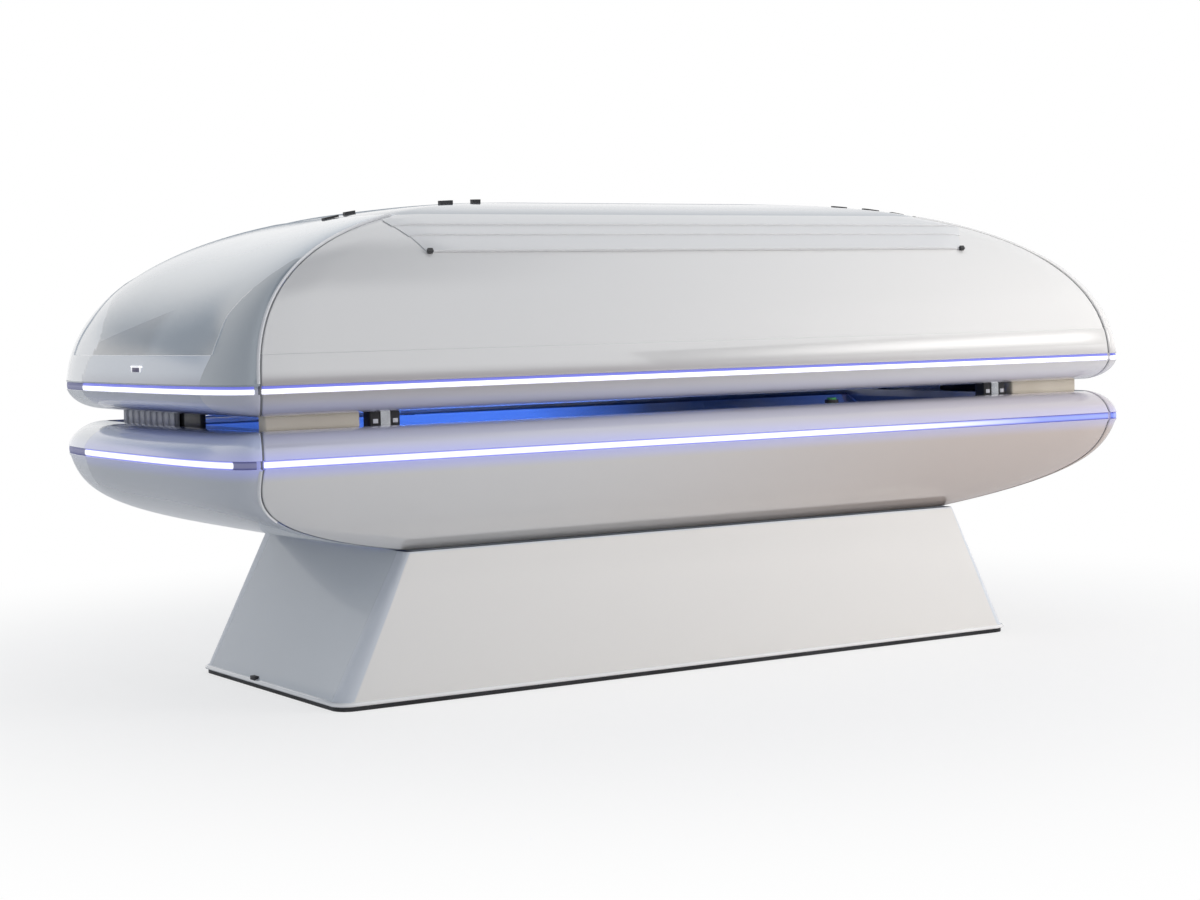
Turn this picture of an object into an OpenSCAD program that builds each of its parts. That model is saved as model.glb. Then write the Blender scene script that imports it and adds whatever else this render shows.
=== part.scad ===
/* [Body] */
// Length of the long panels between the two end caps
panel_length = 2000; // [1700:10:2200]
// How far an end cap swells out past the ends of the long panels
cap_bulge = 76; // [50:1:100]
// Width across the glow strips
body_width = 902; // [800:2:1000]
// Wall of the moulded shells
shell_wall = 4; // [3:0.5:5]
// Open line between neighbouring panels
panel_gap = 3; // [2:0.5:4]
// Height share of the canopy at which the spine cover starts
spine_level = 0.903; // [0.85:0.005:0.93]

/* [Canopy] */
// Height of the canopy above its glow strip
canopy_rise = 349.5; // [320:0.5:380]
// Height of the canopy's rounded underside below its glow strip
canopy_belt = 48.5; // [40:0.5:60]
// Height share of the canopy at which the rim band ends in a small step
rim_level = 0.176; // [0.12:0.004:0.22]
// Depth of the small step above the rim band
rim_step = 1.5; // [1:0.1:2]
// How far the louvre slats stand proud of the front panel
louvre_proud = 7; // [5:0.5:9]
// Length share of the long panels that the lowest louvre slat takes
louvre_share = 0.632; // [0.56:0.002:0.66]
// How much longer each next slat is at each end
louvre_step = 22; // [10:1:30]

/* [Bed] */
// Height of the bed's hull between the pedestal and the lower glow strip
hull_height = 183.5; // [170:0.5:205]
// Height share of the hull's full curve that stands above the pedestal
hull_share = 0.706; // [0.68:0.002:0.73]
// Height of the bed's rounded rim above its glow strip
bed_belt = 55.5; // [50:0.5:65]
// Bulge of the bed's end caps where the hull meets the pedestal
foot_bulge = 20; // [10:1:30]
// Open height between the bed's rim and the canopy's rim
rim_gap = 25; // [22:1:34]

/* [Rims] */
// How far the rims draw in behind the strips at front and rear
rim_inset = 66; // [60:1:75]
// How far the rims draw in behind the strips at the ends
rim_inset_end = 86; // [80:1:95]
// How far the panel ends draw in at the rims
rim_inset_seam = 25; // [15:1:30]
// Thickness of the sill plates under the rims
sill_thick = 15.5; // [12:0.5:18]
// How far the sills reach in past the front and rear rims
sill_ledge = 37; // [33:1:50]
// How far the sills tuck under the front and rear rims
sill_tuck = 1; // [0:0.5:1]
// How far the sills reach in past the end rims
sill_ledge_end = 90; // [86:1:110]
// How far the sills stop short of the end rims
sill_short_end = 14; // [13:0.5:18]

/* [Glow strips] */
// Height of a glow strip
strip_face = 14; // [10:1:18]
// Depth of the channel behind a glow strip
strip_channel = 8; // [6:0.5:10]
// Thickness of the strip diffuser
strip_depth = 7; // [5:0.5:9]

/* [Pedestal] */
// Height of the pedestal
pedestal_height = 286; // [260:1:310]
// How far the pedestal stands in under the hull at each end
pedestal_under = 8; // [4:1:16]
// How far each end of the pedestal slopes out down to the floor
pedestal_splay = 148; // [120:2:170]
// How far the pedestal stands out past the hull's foot at front and rear
pedestal_out = 28.5; // [22:0.5:34]
// How much narrower the pedestal is at the top on each side
pedestal_draft = 3.5; // [0:0.5:8]
// Corner radius of the pedestal at the floor
pedestal_corner = 34; // [20:1:45]
// Corner radius of the pedestal at the top
pedestal_corner_top = 12; // [8:1:20]
// Sheet thickness of the pedestal panels
pedestal_sheet = 3; // [2:0.5:4]
// Height of the dark plinth under the pedestal
plinth_height = 9; // [6:1:14]
// How far the plinth stands back under the panels' lower edges
plinth_inset = 2; // [1:0.5:2.5]
// Side of the pedestal frame's square tube
pedestal_tube = 40; // [30:2:50]
// Thickness of the pedestal's top plate
top_plate = 6; // [4:0.5:10]

/* [Lying surface and canopy sheet] */
// Thickness of the clear acrylic sheets
acrylic_thick = 8; // [5:0.5:10]
// How far the lying sheet dips below its edges
bed_dip = 86; // [60:1:90]
// Height of the canopy that its lamps, ribs and fans take
crown_space = 111.5; // [110:0.5:140]
// Depth of each sheet's edge inside its sill
sheet_edge = 8; // [4:0.5:10]
// Space between an acrylic sheet and its lamp tray
lamp_space = 36; // [30:1:40]
// Sheet metal thickness of the lamp trays
tray_thick = 2; // [1.5:0.5:3]
// Thickness of an LED board
board_thick = 3; // [2:0.5:4]
// Thickness of the walls that close the tunnel's ends
wall_thick = 4; // [3:0.5:4.5]
// Width of an LED board
board_width = 84; // [60:2:90]
// How far the LED boards stop short of the sheets' ends
board_margin = 40; // [30:1:80]
// Number of LED boards under the lying sheet
bed_boards = 6; // [3:1:6]
// Number of LED boards over the canopy sheet
canopy_boards = 8; // [5:1:8]
// Space between neighbouring LED boards
board_space = 12; // [8:1:14]

/* [Frames] */
// Width of the frame tubes
tube_w = 30; // [25:1:36]
// Height of the cross tubes and the upper rails
cross_h = 30; // [24:1:32]
// Width of the upper rails and posts
post_w = 20; // [16:1:24]
// How far the bed's lower rails stop short of the pedestal's top
rail_short = 64; // [50:1:90]
// How far the lower rails stand in from the upper rails
rail_in = 105; // [90:1:130]
// How far the upper rails stand in under the sills
post_in = 23; // [20:1:28]
// How far the posts under the sills stand out from the sills' inner edges
post_out = 2; // [1.5:0.5:4]
// Thickness of the canopy ribs
rib_thick = 10; // [6:1:14]
// Height of the canopy ribs' arch section
rib_depth = 26; // [20:1:28]
// Height of the ribs' feet on the canopy sill
rib_foot = 12; // [8:1:14]
// Side of the canopy's top beam
beam_h = 20; // [16:1:24]

/* [Fans] */
// Side of a fan's square housing
fan_side = 110; // [90:1:120]
// Height of a fan
fan_h = 24; // [20:1:28]
// Distance of the fans from the middle
fan_x = 300; // [200:5:400]
// Radius of a fan's air way
fan_bore = 51; // [40:0.5:54]
// Radius of a fan hub
fan_hub = 20; // [16:1:24]
// Number of blades on a fan
fan_blades = 7; // [5:1:9]
// Radius of the fan spindles
spindle_r = 3; // [2:0.5:4]

/* [Hinges and gas struts] */
// Distance of the hinge line behind the rear rims
hinge_back = 30; // [27:0.5:33]
// Outer radius of the hinge knuckles
knuckle_r = 9; // [7:0.5:10]
// Radius of the hinge pins
hinge_pin_r = 4; // [3:0.5:5]
// Length of one hinge
hinge_len = 100; // [80:2:140]
// Distance of the hinges from the middle
hinge_x = 550; // [400:5:700]
// Radial play of pins in their bores
pin_play = 0.05; // [0.02:0.01:0.08]
// How far the gas struts stand in from the end rims
strut_in = 50; // [46:1:55]
// Radius of the gas strut cylinders
strut_r = 9; // [8:0.5:11]
// Radius of the gas strut rods
rod_r = 4; // [3:0.5:5]
// Distance of the struts' lower pivots behind the middle
strut_foot_y = 150; // [140:1:160]
// Distance of the struts' lower pivots under the bed's sill
strut_drop = 100.2; // [95.2:1:103.2]
// Distance of the struts' upper pivots in front of the hinge line
strut_head_back = 90; // [80:1:100]
// Height of the struts' upper pivots above the hinge line
strut_head_up = 60; // [56:1:66]
// Length of a strut cylinder from its eye
cylinder_len = 168; // [150:1:180]

/* [Fittings in the gap] */
// Running clearance between pieces that only sit beside each other
seat_gap = 0.3; // [0.2:0.05:0.5]
// Length of the front rest bars
bar_length = 186; // [160:2:200]
// How far the rest bars stop short of the end rims
bar_short = 24; // [20:1:40]
// Width of the front rest bars
bar_w = 30; // [20:1:32]
// Distance from a rest bar to the far side of its stop blocks
stop_reach = 80; // [70:2:100]
// Width of the air gap over the rest bars
rest_gap = 1; // [0.5:0.5:2]
// Rear end of the ribbed covers in the end gaps
cover_rear = 310; // [280:2:330]
// Front end of the ribbed covers in the end gaps
cover_front = 40; // [30:2:60]
// Number of ribs on each cover
cover_ribs = 9; // [5:1:14]
// Length of the black blocks in the end gaps
end_block_len = 80; // [60:2:100]
// Distance of the end blocks in front of the middle
end_block_y = 50; // [46:1:60]
// Radius of the start button
button_r = 10; // [8:0.5:14]
// Travel of the start button
button_travel = 2; // [1:0.5:3]
// Place of the start button along the front sill
button_x = 300; // [200:5:500]

/* [Service side] */
// Middle of the service hatch along the rear
hatch_x = -450; // [-600:10:-300]
// Width of the service hatch
hatch_w = 180; // [150:2:220]
// Height of the service hatch
hatch_h = 120; // [100:2:140]
// Height of the hatch's middle
hatch_z = 130; // [110:2:160]
// Thickness of the hatch plate
hatch_thick = 5; // [4:0.5:6]

/* [Hidden] */
tiny = 0.01;
seam_half = panel_length / 2;
half_w = body_width / 2;
cap_steps = 20;
strip_height = pedestal_height + hull_height;
bed_lip_z = strip_height + bed_belt;
canopy_lip_z = bed_lip_z + rim_gap;
canopy_vault = canopy_rise - crown_space;
canopy_strip_z = canopy_lip_z + canopy_belt;
hinge_z = bed_lip_z + rim_gap / 2;
spine_seam = 0.0006;
crown_end = 0.9985;
lip_y = half_w - rim_inset;
lip_end = seam_half + cap_bulge - rim_inset_end;
hinge_y = lip_y + hinge_back;
strut_x = lip_end - strut_in;
bar_end = lip_end - bar_short;
bar_start = bar_end - bar_length;
stop_start = bar_start - stop_reach;
louvre_half = seam_half * louvre_share;

// Sills: each one sits just inside its rim
sill_inner = lip_y - sill_ledge;
sill_outer = lip_y + sill_tuck;
sill_inner_end = lip_end - sill_ledge_end;
sill_outer_end = lip_end - sill_short_end;
bed_sill_top = bed_lip_z - shell_wall - seat_gap;
bed_sill_low = bed_sill_top - sill_thick;
canopy_sill_low = canopy_lip_z + shell_wall + seat_gap;
canopy_sill_top = canopy_sill_low + sill_thick;
post_y = sill_inner - post_in;
rail_y = post_y - rail_in;

// Acrylic sheets: arcs whose edges stand just inside the sills
sheet_y = sill_inner - seat_gap;
bed_edge_z = bed_sill_top - sheet_edge;
bed_sheet_r = (sheet_y * sheet_y + bed_dip * bed_dip) / (2 * bed_dip);
bed_centre_z = bed_edge_z - bed_dip + bed_sheet_r;
canopy_edge_z = canopy_sill_low + sheet_edge;
canopy_sheet_r = (sheet_y * sheet_y + canopy_vault * canopy_vault) / (2 * canopy_vault);
canopy_centre_z = canopy_edge_z + canopy_vault - canopy_sheet_r;
sheet_half = sill_inner_end - seat_gap;
board_length = 2 * (sheet_half - board_margin);
bed_tray_r = bed_sheet_r + acrylic_thick + lamp_space;
canopy_tray_r = canopy_sheet_r + acrylic_thick + lamp_space;
bed_tray_low = bed_centre_z - bed_tray_r - tray_thick;
rib_r = canopy_tray_r + tray_thick + seat_gap;
beam_z = canopy_centre_z + rib_r + rib_depth;

// Strut pivots in the side view, [y, z]
strut_foot_z = bed_sill_low - strut_drop;
strut_foot = [strut_foot_y, strut_foot_z];
strut_head = [hinge_y - strut_head_back, hinge_z + strut_head_up];
strut_reach = norm(strut_head - strut_foot);
strut_angle = atan2(strut_head[1] - strut_foot[1], strut_head[0] - strut_foot[0]);

// Curves of the shells: power of the height share and root of what is left of it
seam_curve = [2.4, 3.2];
cap_curve = [1.8, 4];
side_curve = [1.8, 2.8];
hull_curve = [1.3, 2.4];
// Curve by which the hull's ends draw in: share of the half length and power of the depth
hull_pull = [1.138, 3.4];
// Power that squares up the round of an end cap
cap_round = 2 / 3;

// A row is one level of a shell: [height, seam half length, overall half length, half width]
function arc_fall(level, curve) = pow(1 - pow(level, curve[0]), 1 / curve[1]);
function canopy_row(level, inset) = [
  canopy_strip_z + (canopy_rise - inset) * level,
  seam_half * arc_fall(level, seam_curve),
  (seam_half + cap_bulge - inset) * arc_fall(level, cap_curve),
  (half_w - inset) * arc_fall(level, side_curve)
];
function belt_row(strip_z, drop, turn, inset) = [
  strip_z + (drop > 0 ? drop - inset : drop + inset) * sin(turn),
  seam_half - rim_inset_seam * (1 - cos(turn)),
  seam_half + cap_bulge - inset - (rim_inset_end - inset) * (1 - cos(turn)),
  half_w - inset - (rim_inset - inset) * (1 - cos(turn))
];
function channel_row(strip_z, rise, inset) = [
  strip_z + rise, seam_half, seam_half + cap_bulge - inset, half_w - inset
];
hull_depth = hull_height / hull_share;
function hull_seam(depth) = seam_half * (1 - hull_pull[0] * pow(depth, hull_pull[1]));
function hull_row(fall, inset) = let (depth = fall / hull_depth) [
  strip_height - fall,
  hull_seam(depth),
  hull_seam(depth) + cap_bulge - (cap_bulge - foot_bulge) * fall / hull_height - inset,
  (half_w - inset) * arc_fall(depth, hull_curve)
];

// Levels of the shells, as chains of rows from the rim outwards
belt_turns = [90, 70, 50, 34, 18];
spine_turn = asin(spine_level);
rim_turn = asin(rim_level);
crown_steps = 11;
crown_turns = concat(
  [rim_turn / 2 + 1, rim_turn, rim_turn + 0.4],
  [for (i = [1:crown_steps]) rim_turn + i * (spine_turn - rim_turn) / crown_steps]
);
half_face = strip_face / 2;
function canopy_chain(inset) = concat(
  [for (turn = belt_turns) belt_row(canopy_strip_z, -canopy_belt, turn, inset)],
  [channel_row(canopy_strip_z, -half_face - inset, inset),
   channel_row(canopy_strip_z, -half_face - inset, inset + strip_channel),
   channel_row(canopy_strip_z, half_face + inset, inset + strip_channel),
   channel_row(canopy_strip_z, half_face + inset, inset)],
  [for (turn = crown_turns) canopy_row(sin(turn), inset + (turn > rim_turn ? rim_step : 0))]
);
hull_start = 18;
hull_steps = 9;
hull_levels = [for (i = [0:hull_steps]) hull_start + (hull_height - hull_start) * sin(i * 90 / hull_steps)];
function bed_chain(inset) = concat(
  [for (turn = belt_turns) belt_row(strip_height, bed_belt, turn, inset)],
  [channel_row(strip_height, half_face + inset, inset),
   channel_row(strip_height, half_face + inset, inset + strip_channel),
   channel_row(strip_height, -half_face - inset, inset + strip_channel),
   channel_row(strip_height, -half_face - inset, inset)],
  [for (fall = hull_levels) hull_row(fall, inset)]
);

// A point of an end cap: turn runs from -90 at the front seam to 90 at the rear seam
function soft(value) = sign(value) * pow(abs(value), cap_round);
function cap_point(row, turn, seam) = [
  row[1] + seam + (row[2] - row[1] - seam) * soft(cos(turn)),
  row[3] * soft(sin(turn)),
  row[0]
];

// Closed solid between two grids of points: skin[row][column] and back[row][column]
function flat_list(lists) = [for (part = lists) each part];
function grid_faces(rows, cols, start, flip) = [
  for (r = [0:rows - 2], c = [0:cols - 2])
    let (a = start + r * cols + c, b = a + 1, d = a + cols, e = d + 1)
    each flip ? [[a, b, e], [a, e, d]] : [[a, e, b], [a, d, e]]
];
function rim_faces(path, shift, flip) = [
  for (i = [0:len(path) - 2])
    let (a = path[i], b = path[i + 1], d = a + shift, e = b + shift)
    each flip ? [[a, e, b], [a, d, e]] : [[a, b, e], [a, e, d]]
];
module sheet_solid(skin, back, flip = false) {
  rows = len(skin);
  cols = len(skin[0]);
  total = rows * cols;
  first = [for (c = [0:cols - 1]) c];
  last = [for (c = [0:cols - 1]) (rows - 1) * cols + c];
  left = [for (r = [0:rows - 1]) r * cols];
  right = [for (r = [0:rows - 1]) r * cols + cols - 1];
  polyhedron(
    points = concat(flat_list(skin), flat_list(back)),
    faces = concat(
      grid_faces(rows, cols, 0, flip),
      grid_faces(rows, cols, total, !flip),
      rim_faces(first, total, flip),
      rim_faces(last, total, !flip),
      rim_faces(left, total, !flip),
      rim_faces(right, total, flip)
    ),
    convexity = 6
  );
}

// Pieces of a shell, cut from its chains of rows
module cap_solid(outer, inner, flip) {
  turns = [for (i = [0:cap_steps]) -90 + i * 180 / cap_steps];
  skin = [for (row = outer) [for (turn = turns) cap_point(row, turn, panel_gap / 2)]];
  back = [for (row = inner) [for (turn = turns) cap_point(row, turn, panel_gap / 2)]];
  sheet_solid(skin, back, flip);
}
module long_solid(outer, inner, flip) {
  ends = [-1, 1];
  skin = [for (row = outer) [for (e = ends) [e * (row[1] - panel_gap / 2), -row[3], row[0]]]];
  back = [for (row = inner) [for (e = ends) [e * (row[1] - panel_gap / 2), -row[3], row[0]]]];
  sheet_solid(skin, back, flip);
}
module seam_solid(outer, inner, flip) {
  half = panel_gap / 2 - seat_gap;
  skin = [for (row = outer) [for (e = [-half, half]) [row[1] + e, -row[3], row[0]]]];
  back = [for (row = inner) [for (e = [-half, half]) [row[1] + e, -row[3], row[0]]]];
  sheet_solid(skin, back, flip);
}
module four_ways() {
  children();
  mirror([1, 0, 0]) children();
  mirror([0, 1, 0]) children();
  mirror([1, 0, 0]) mirror([0, 1, 0]) children();
}
module two_ends() {
  children();
  mirror([1, 0, 0]) children();
}
module along_x(length) {
  rotate([90, 0, 90]) linear_extrude(length, center = true) children();
}
module block(low, high) {
  translate(low) cube(high - low);
}

// Glow strip bars: a straight bar at front and rear, and a bent one round each end
strip_half = half_face - seat_gap;
module end_strip(strip_z) {
  turns = [for (i = [1:cap_steps - 1]) -90 + i * 180 / cap_steps];
  front = [for (rise = [-strip_half, strip_half]) channel_row(strip_z, rise, strip_channel - strip_depth)];
  rear = [for (rise = [-strip_half, strip_half]) channel_row(strip_z, rise, strip_channel - seat_gap)];
  skin = [for (row = front) [for (turn = turns) cap_point(row, turn, panel_gap / 2)]];
  back = [for (row = rear) [for (turn = turns) cap_point(row, turn, panel_gap / 2)]];
  sheet_solid(skin, back);
}
module long_strip(strip_z) {
  reach = seam_half - panel_gap / 2 - 2;
  block(
    [-reach, -half_w + strip_channel - strip_depth, strip_z - strip_half],
    [reach, -half_w + strip_channel - seat_gap, strip_z + strip_half]
  );
}
module glow_strips(strip_z) {
  color("lavender") {
    long_strip(strip_z);
    mirror([0, 1, 0]) long_strip(strip_z);
    two_ends() end_strip(strip_z);
  }
}

// Pedestal
pedestal_top = hull_seam(hull_share) + foot_bulge - pedestal_under;
pedestal_foot = pedestal_top + pedestal_splay;
pedestal_depth = hull_row(hull_height, 0)[3] + pedestal_out;
module pedestal_block(inset, low, high) {
  rise = pedestal_height;
  foot = [pedestal_foot - inset, pedestal_depth - inset];
  top = [pedestal_top - inset, pedestal_depth - pedestal_draft - inset];
  hull() {
    for (sx = [-1, 1], sy = [-1, 1]) {
      corner = pedestal_corner - inset;
      translate([sx * (foot[0] - corner), sy * (foot[1] - corner), low])
        cylinder(r = corner, h = tiny, $fn = 32);
      corner_top = pedestal_corner_top - inset;
      translate([sx * (top[0] - corner_top), sy * (top[1] - corner_top), high - tiny])
        cylinder(r = corner_top, h = tiny, $fn = 32);
    }
  }
}
panel_low = plinth_height;
panel_high = pedestal_height - 2;
wrap = pedestal_corner + 6;
cut_reach = 50;
reach_x = pedestal_foot + cut_reach;
reach_y = pedestal_depth + cut_reach;
module pedestal_shell() {
  difference() {
    pedestal_block(0, panel_low, panel_high);
    pedestal_block(pedestal_sheet, panel_low - tiny, panel_high + tiny);
  }
}
module rear_window() {
  w = hatch_w / 2 + seat_gap;
  h = hatch_h / 2 + seat_gap;
  block([hatch_x - w, 0, hatch_z - h], [hatch_x + w, reach_y, hatch_z + h]);
}
module pedestal_front_panel() {
  color("whitesmoke") intersection() {
    pedestal_shell();
    block([-reach_x, -reach_y, 0], [reach_x, -pedestal_depth + wrap, pedestal_height]);
  }
}
module pedestal_rear_panel() {
  color("whitesmoke") difference() {
    intersection() {
      pedestal_shell();
      block([-reach_x, pedestal_depth - wrap, 0], [reach_x, reach_y, pedestal_height]);
    }
    rear_window();
  }
}
module pedestal_end() {
  half = pedestal_depth - wrap - seat_gap;
  intersection() {
    pedestal_shell();
    block([-reach_x, -half, 0], [-pedestal_top / 2, half, pedestal_height]);
  }
}
module pedestal_left_end() {
  color("lightsteelblue") pedestal_end();
}
module pedestal_right_end() {
  color("lightsteelblue") mirror([1, 0, 0]) pedestal_end();
}
module rounded_plate(half_x, half_y, corner, low, high) {
  translate([0, 0, low]) linear_extrude(high - low) union() {
    square([2 * half_x, 2 * (half_y - corner)], center = true);
    square([2 * (half_x - corner), 2 * half_y], center = true);
    for (sx = [-1, 1], sy = [-1, 1])
      translate([sx * (half_x - corner), sy * (half_y - corner)]) circle(r = corner, $fn = 48);
  }
}
// How far the plinth's ring reaches in past the frame's tubes
plinth_spare = 12;
module plinth() {
  x = pedestal_foot - plinth_inset;
  y = pedestal_depth - plinth_inset;
  inner = pedestal_tube + plinth_spare;
  color("dimgray") difference() {
    rounded_plate(x, y, pedestal_corner - plinth_inset, 0, plinth_height);
    block([-x + inner, -y + inner, -1], [x - inner, y - inner, plinth_height + 1]);
  }
}
frame_in_x = 60;
frame_in_y = 30;
frame_foot_in = 52;
frame_x = pedestal_top - frame_in_x;
frame_y = pedestal_depth - frame_in_y;
frame_top = pedestal_height - top_plate;
frame_foot_x = pedestal_foot - frame_foot_in;
module pedestal_frame() {
  t = pedestal_tube;
  low = plinth_height;
  color("slategray") {
    for (sy = [-1, 1]) {
      y = sy * (frame_y - t / 2);
      block([-frame_foot_x, y - t / 2, low], [frame_foot_x, y + t / 2, low + t]);
      block([-frame_x, y - t / 2, frame_top - t], [frame_x, y + t / 2, frame_top]);
      for (x = [-frame_x + t / 2, 0, frame_x - t / 2])
        block([x - t / 2, y - t / 2, low + t], [x + t / 2, y + t / 2, frame_top - t]);
    }
    for (x = [-frame_foot_x + t / 2, frame_foot_x - t / 2])
      block([x - t / 2, -frame_y + t, low], [x + t / 2, frame_y - t, low + t]);
    for (x = [-frame_x + t / 2, frame_x - t / 2])
      block([x - t / 2, -frame_y + t, frame_top - t], [x + t / 2, frame_y - t, frame_top]);
  }
}
plate_short = 12;
plate_narrow = 10;
plate_corner = 10;
module pedestal_top_plate() {
  x = pedestal_top - plate_short;
  y = pedestal_depth - pedestal_draft - plate_narrow;
  color("silver") rounded_plate(x, y, plate_corner, frame_top, pedestal_height);
}

// Service hatch, mains inlet and switch in the rear of the pedestal
hatch_sunk = 1;
hatch_back = pedestal_depth - hatch_thick - hatch_sunk;
hatch_face = hatch_back + hatch_thick;
inlet_shift = -34;
inlet_x = hatch_x + inlet_shift;
inlet_w = 46;
inlet_h = 28;
inlet_depth = 24;
inlet_wall_x = 10;
inlet_wall_z = 5;
socket_depth = 16;
blade_pitch_x = 7;
blade_half_x = 1;
blade_half_z = 3;
blade_back = 3;
flange = 3;
flange_thick = 2;
rocker_shift = 40;
rocker_x = hatch_x + rocker_shift;
rocker_w = 22;
rocker_h = 30;
rocker_play = 1;
rocker_pin = 1.5;
rocker_pin_end = 2.5;
rocker_tilt = 8;
rocker_rim = 5;
rocker_depth = 20;
rocker_floor = 2;
rocker_short = 3;
rocker_axis_in = 8;
rocker_axis_y = hatch_face - rocker_axis_in;
module hatch_hole(x, w, h) {
  block([x - w / 2, hatch_back - 1, hatch_z - h / 2], [x + w / 2, hatch_face + 1, hatch_z + h / 2]);
}
screw_r = 3;
screw_play = 0.2;
screw_head_r = 5.5;
screw_head_h = 2.5;
screw_past = 8;
screw_inset = 12;
module at_hatch_screws() {
  for (sx = [-1, 1], sz = [-1, 1])
    translate([hatch_x + sx * (hatch_w / 2 - screw_inset), 0, hatch_z + sz * (hatch_h / 2 - screw_inset)])
      children();
}
module service_hatch() {
  w = hatch_w / 2;
  h = hatch_h / 2;
  around = 2 * (rocker_rim + seat_gap);
  color("gainsboro") difference() {
    block([hatch_x - w, hatch_back, hatch_z - h], [hatch_x + w, hatch_face, hatch_z + h]);
    hatch_hole(inlet_x, inlet_w + 2 * seat_gap, inlet_h + 2 * seat_gap);
    hatch_hole(rocker_x, rocker_w + around, rocker_h + around);
    at_hatch_screws() translate([0, hatch_back - 1, 0]) rotate([-90, 0, 0])
      cylinder(r = screw_r + screw_play, h = hatch_thick + 2, $fn = 32);
  }
}
module hatch_screws() {
  color("silver") at_hatch_screws() {
    translate([0, hatch_face, 0]) rotate([-90, 0, 0])
      cylinder(r = screw_head_r, h = screw_head_h, $fn = 32);
    translate([0, hatch_back - screw_past, 0]) rotate([-90, 0, 0])
      cylinder(r = screw_r, h = hatch_thick + screw_past, $fn = 32);
  }
}
module hatch_block(x, w, h, deep, proud) {
  block([x - w, hatch_face - deep, hatch_z - h], [x + w, hatch_face + proud, hatch_z + h]);
}
module mains_inlet() {
  w = inlet_w / 2;
  h = inlet_h / 2;
  over = 3;
  color("black") {
    difference() {
      union() {
        hatch_block(inlet_x, w, h, inlet_depth, 0);
        hatch_block(inlet_x, w + flange, h + flange, 0, flange_thick);
      }
      hatch_block(inlet_x, w - inlet_wall_x, h - inlet_wall_z, socket_depth, over);
    }
    for (i = [-1:1])
      hatch_block(inlet_x + i * blade_pitch_x, blade_half_x, blade_half_z, socket_depth + 1, -blade_back);
    difference() {
      hatch_block(rocker_x, rocker_w / 2 + rocker_rim, rocker_h / 2 + rocker_rim, rocker_depth, flange_thick);
      hatch_block(rocker_x, rocker_w / 2, rocker_h / 2, rocker_depth - rocker_floor, over);
      translate([rocker_x - rocker_w / 2 - over, rocker_axis_y, hatch_z]) rotate([0, 90, 0])
        cylinder(r = rocker_pin + pin_play, h = rocker_w + 2 * over, $fn = 32);
    }
  }
}
module mains_rocker() {
  w = rocker_w / 2 - rocker_play;
  h = rocker_h / 2 - rocker_short;
  pin_half = rocker_w / 2 + rocker_pin_end;
  rocker_back = 5;
  color("firebrick") translate([rocker_x, rocker_axis_y, hatch_z]) {
    translate([-pin_half, 0, 0]) rotate([0, 90, 0]) cylinder(r = rocker_pin, h = 2 * pin_half, $fn = 32);
    rotate([rocker_tilt / 2, 0, 0]) block([-w, -rocker_back, -h], [w, rocker_axis_in, h]);
  }
}
supply_l = 230;
supply_w = 115;
supply_h = 50;
supply_first = -280;
supply_pitch = 300;
supply_bar = 8;
supply_bar_half = 10;
supply_bar_x = 80;
supply_bar_short = 10;
module power_supplies() {
  low = plinth_height + pedestal_tube;
  top = low + supply_bar;
  color("silver") for (i = [0:2]) translate([supply_first + i * supply_pitch, 0, 0]) {
    block([-supply_l / 2, -supply_w / 2, top], [supply_l / 2, supply_w / 2, top + supply_h]);
    for (x = [-supply_bar_x, supply_bar_x])
      block(
        [x - supply_bar_half, -frame_y + supply_bar_short, low],
        [x + supply_bar_half, frame_y - supply_bar_short, top]
      );
  }
}
control_l = 300;
control_w = 180;
control_h = 70;
module control_box() {
  color("slategray") block(
    [-control_l / 2, -control_w / 2, frame_top - control_h],
    [control_l / 2, control_w / 2, frame_top - seat_gap]
  );
}

// Bed structure
pan_thick = 6;
pan_in = 10;
pan_low = pedestal_height;
pan_top = pan_low + pan_thick;
module pan_outline(inset) {
  row = hull_row(strip_height - pan_low, 0);
  turns = [for (i = [0:cap_steps]) -90 + i * 180 / cap_steps];
  inner = [row[0], row[1], row[2] - inset, row[3] - inset];
  right = [for (turn = turns) let (p = cap_point(inner, turn, 0)) [p[0], p[1]]];
  left = [for (turn = turns) let (p = cap_point(inner, -turn, 0)) [-p[0], p[1]]];
  polygon(concat(right, left));
}
module bed_pan() {
  color("gray") translate([0, 0, pan_low]) linear_extrude(pan_top - pan_low) difference() {
    pan_outline(shell_wall + pan_in);
    for (sx = [-1, 1]) translate([sx * fan_x, 0]) circle(r = fan_bore, $fn = 64);
  }
}
eye_w = 10;
eye_r = 9;
rail_low = pan_top;
bearer_h = 18.4;
upper_low = bed_tray_low - seat_gap - bearer_h;
cross_low = upper_low - cross_h;
upper_top = upper_low + cross_h;
rail_half = pedestal_top - rail_short;
end_tube_out = 5;
end_tube_x = sill_inner_end + end_tube_out;
bracket_w = 10;
bracket_x = strut_x - eye_w / 2 - seat_gap - bracket_w;
bracket_half = 10;
bracket_stud = 8;
post_end = 50;
post_spots = [-sill_inner_end + post_end, -fan_x, fan_x, sill_inner_end - post_end];
bearer_half = 60;
module cross_tube(x, half, low, high) {
  block([x - tube_w / 2, -half, low], [x + tube_w / 2, half, high]);
}
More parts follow.
